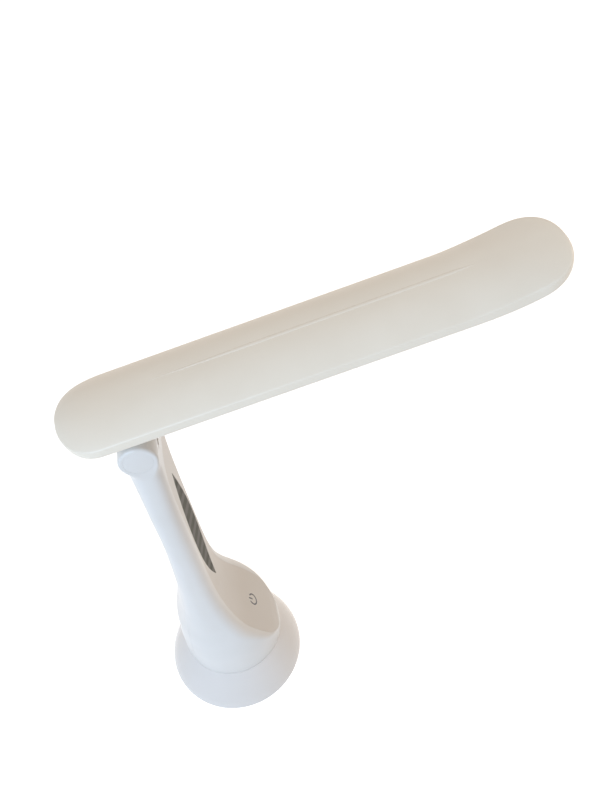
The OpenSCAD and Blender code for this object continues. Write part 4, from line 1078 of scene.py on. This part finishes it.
# ---- Light board ----
# A strip of white-masked circuit board under a moulded reflector tray, with two rows of chips.
# What shows of each chip is its filling of silicone, yellow with phosphor and slightly glossy.
# The tray's pigmented plastic and the board's mask are both flat whites.
tray_white = finish("reflector-white polycarbonate", "#F2F2EF", "#ECECE8", 0.9, (0.4, 0.5), 0.01)
board_mask = finish("white solder mask", "#E9EAE6", "#E1E2DE", 0.7, (0.35, 0.45), 0.01)
phosphor = finish("phosphor in silicone", "#E8C64A", "#DDB63A", 0.5, (0.2, 0.3), 0.006)
dress(tray_white, "white_inner", "reflector_tray")
dress(board_mask, "white_board", "led_board")
dress(zinc_steel, "steel", "led_screws")
dress(phosphor, "phosphor", "leds")


# ---- Camera ----
# The photograph's view: from beside the lamp and well above, a little turned, on a frame of
# 600 by 800 pixels.
photo_w, photo_h, focal_px = 600, 800, 700
azimuth, elevation, roll_angle, distance = -9.8, 47.4, -3.5, 610.4
origin_px = (237.6, 644.7)  # where the middle of the base's underside falls
az, el, roll_turn = (math.radians(a) for a in (azimuth, elevation, roll_angle))
back = Vector((math.sin(az) * math.cos(el), -math.cos(az) * math.cos(el), math.sin(el)))
level = (-back).cross(Vector((0, 0, 1))).normalized()
upright = level.cross(-back)
right = level * math.cos(roll_turn) + upright * math.sin(roll_turn)
up = upright * math.cos(roll_turn) - level * math.sin(roll_turn)
aside = (origin_px[0] - photo_w / 2) / focal_px * distance
above = -(origin_px[1] - photo_h / 2) / focal_px * distance
eye = (back * distance - right * aside - up * above) * MM
camera_data = bpy.data.cameras.new("camera")
camera_data.sensor_width = 36  # laid along the longer side of the frame, its height
camera_data.lens = focal_px / photo_h * camera_data.sensor_width
camera = shown("camera", camera_data)
camera.matrix_world = Matrix((
    (right.x, up.x, back.x, eye.x), (right.y, up.y, back.y, eye.y),
    (right.z, up.z, back.z, eye.z), (0, 0, 0, 1)))
bpy.context.scene.camera = camera


# ---- Floor, world and lamps ----
# A plain pale studio: a cool soft box on the left, a weaker warm one from the right and the
# world's warm fill. The floor and the world show white, and the floor keeps the shadow.
def seen(tree):
    """Is 1 for rays from the camera, a mirror or a lens."""
    rays = add(tree, "ShaderNodeLightPath", {}).outputs
    pair = add(tree, "ShaderNodeMath", {
        0: rays["Is Camera Ray"], 1: rays["Is Glossy Ray"]}, operation="MAXIMUM").outputs[0]
    return add(tree, "ShaderNodeMath", {
        0: pair, 1: rays["Is Transmission Ray"]}, operation="MAXIMUM").outputs[0]


floor_glow, fill_level, fill_colour = 0.74, 0.465, (1.0, 0.87, 0.75, 1)
floor_half, paper_patch = 4, 20  # metres, and the millimetres over which the paper's tone drifts
paper, tree = blank("white paper sweep")
drift = add(tree, "ShaderNodeTexNoise", {"Scale": 2 * floor_half / (paper_patch * MM)}).outputs[0]
paper_tone = add(tree, "ShaderNodeMix", {
    0: drift, 6: linear("#E4E4E4"), 7: linear("#EAEAEA")}, data_type="RGBA").outputs[2]
matt = add(tree, "ShaderNodeBsdfDiffuse", {"Color": paper_tone}).outputs[0]
glow_level = add(tree, "ShaderNodeMath", {0: seen(tree), 1: floor_glow}, operation="MULTIPLY").outputs[0]
glow = add(tree, "ShaderNodeEmission", {"Strength": glow_level}).outputs[0]
both = add(tree, "ShaderNodeAddShader", {0: matt, 1: glow}).outputs[0]
add(tree, "ShaderNodeOutputMaterial", {"Surface": both})
floor_mesh = bpy.data.meshes.new("floor")
floor_mesh.from_pydata([(x * floor_half, y * floor_half, 0)
                        for x, y in ((-1, -1), (1, -1), (1, 1), (-1, 1))], [], [(0, 1, 2, 3)])
floor_mesh.materials.append(paper)
floor = shown("floor", floor_mesh)

world = bpy.data.worlds.new("studio")
world.use_nodes = True
tree = world.node_tree
tree.nodes.clear()
fill = add(tree, "ShaderNodeBackground", {"Color": fill_colour, "Strength": fill_level}).outputs[0]
white = add(tree, "ShaderNodeBackground", {"Color": (1, 1, 1, 1), "Strength": 1.0}).outputs[0]
mixed = add(tree, "ShaderNodeMixShader", {0: seen(tree), 1: fill, 2: white}).outputs[0]
add(tree, "ShaderNodeOutputWorld", {"Surface": mixed})
bpy.context.scene.world = world
bpy.context.scene.view_settings.view_transform = "Standard"

lamp_middle = Vector((0.03, 0, 0.2))
for name, place, watts, size, colour in (
        ("cool_key", (-0.95, -1.45, 1.2), 28, 1.1, (0.56, 0.76, 1.0)),
        ("warm_side", (1.4, 0.5, 1.2), 8, 1.2, (1.0, 0.85, 0.70))):
    light_data = bpy.data.lights.new(name, "AREA")
    light_data.energy, light_data.size, light_data.color = watts, size, colour
    light = shown(name, light_data)
    light.location = place
    light.rotation_euler = (lamp_middle - Vector(place)).to_track_quat("-Z", "Y").to_euler()
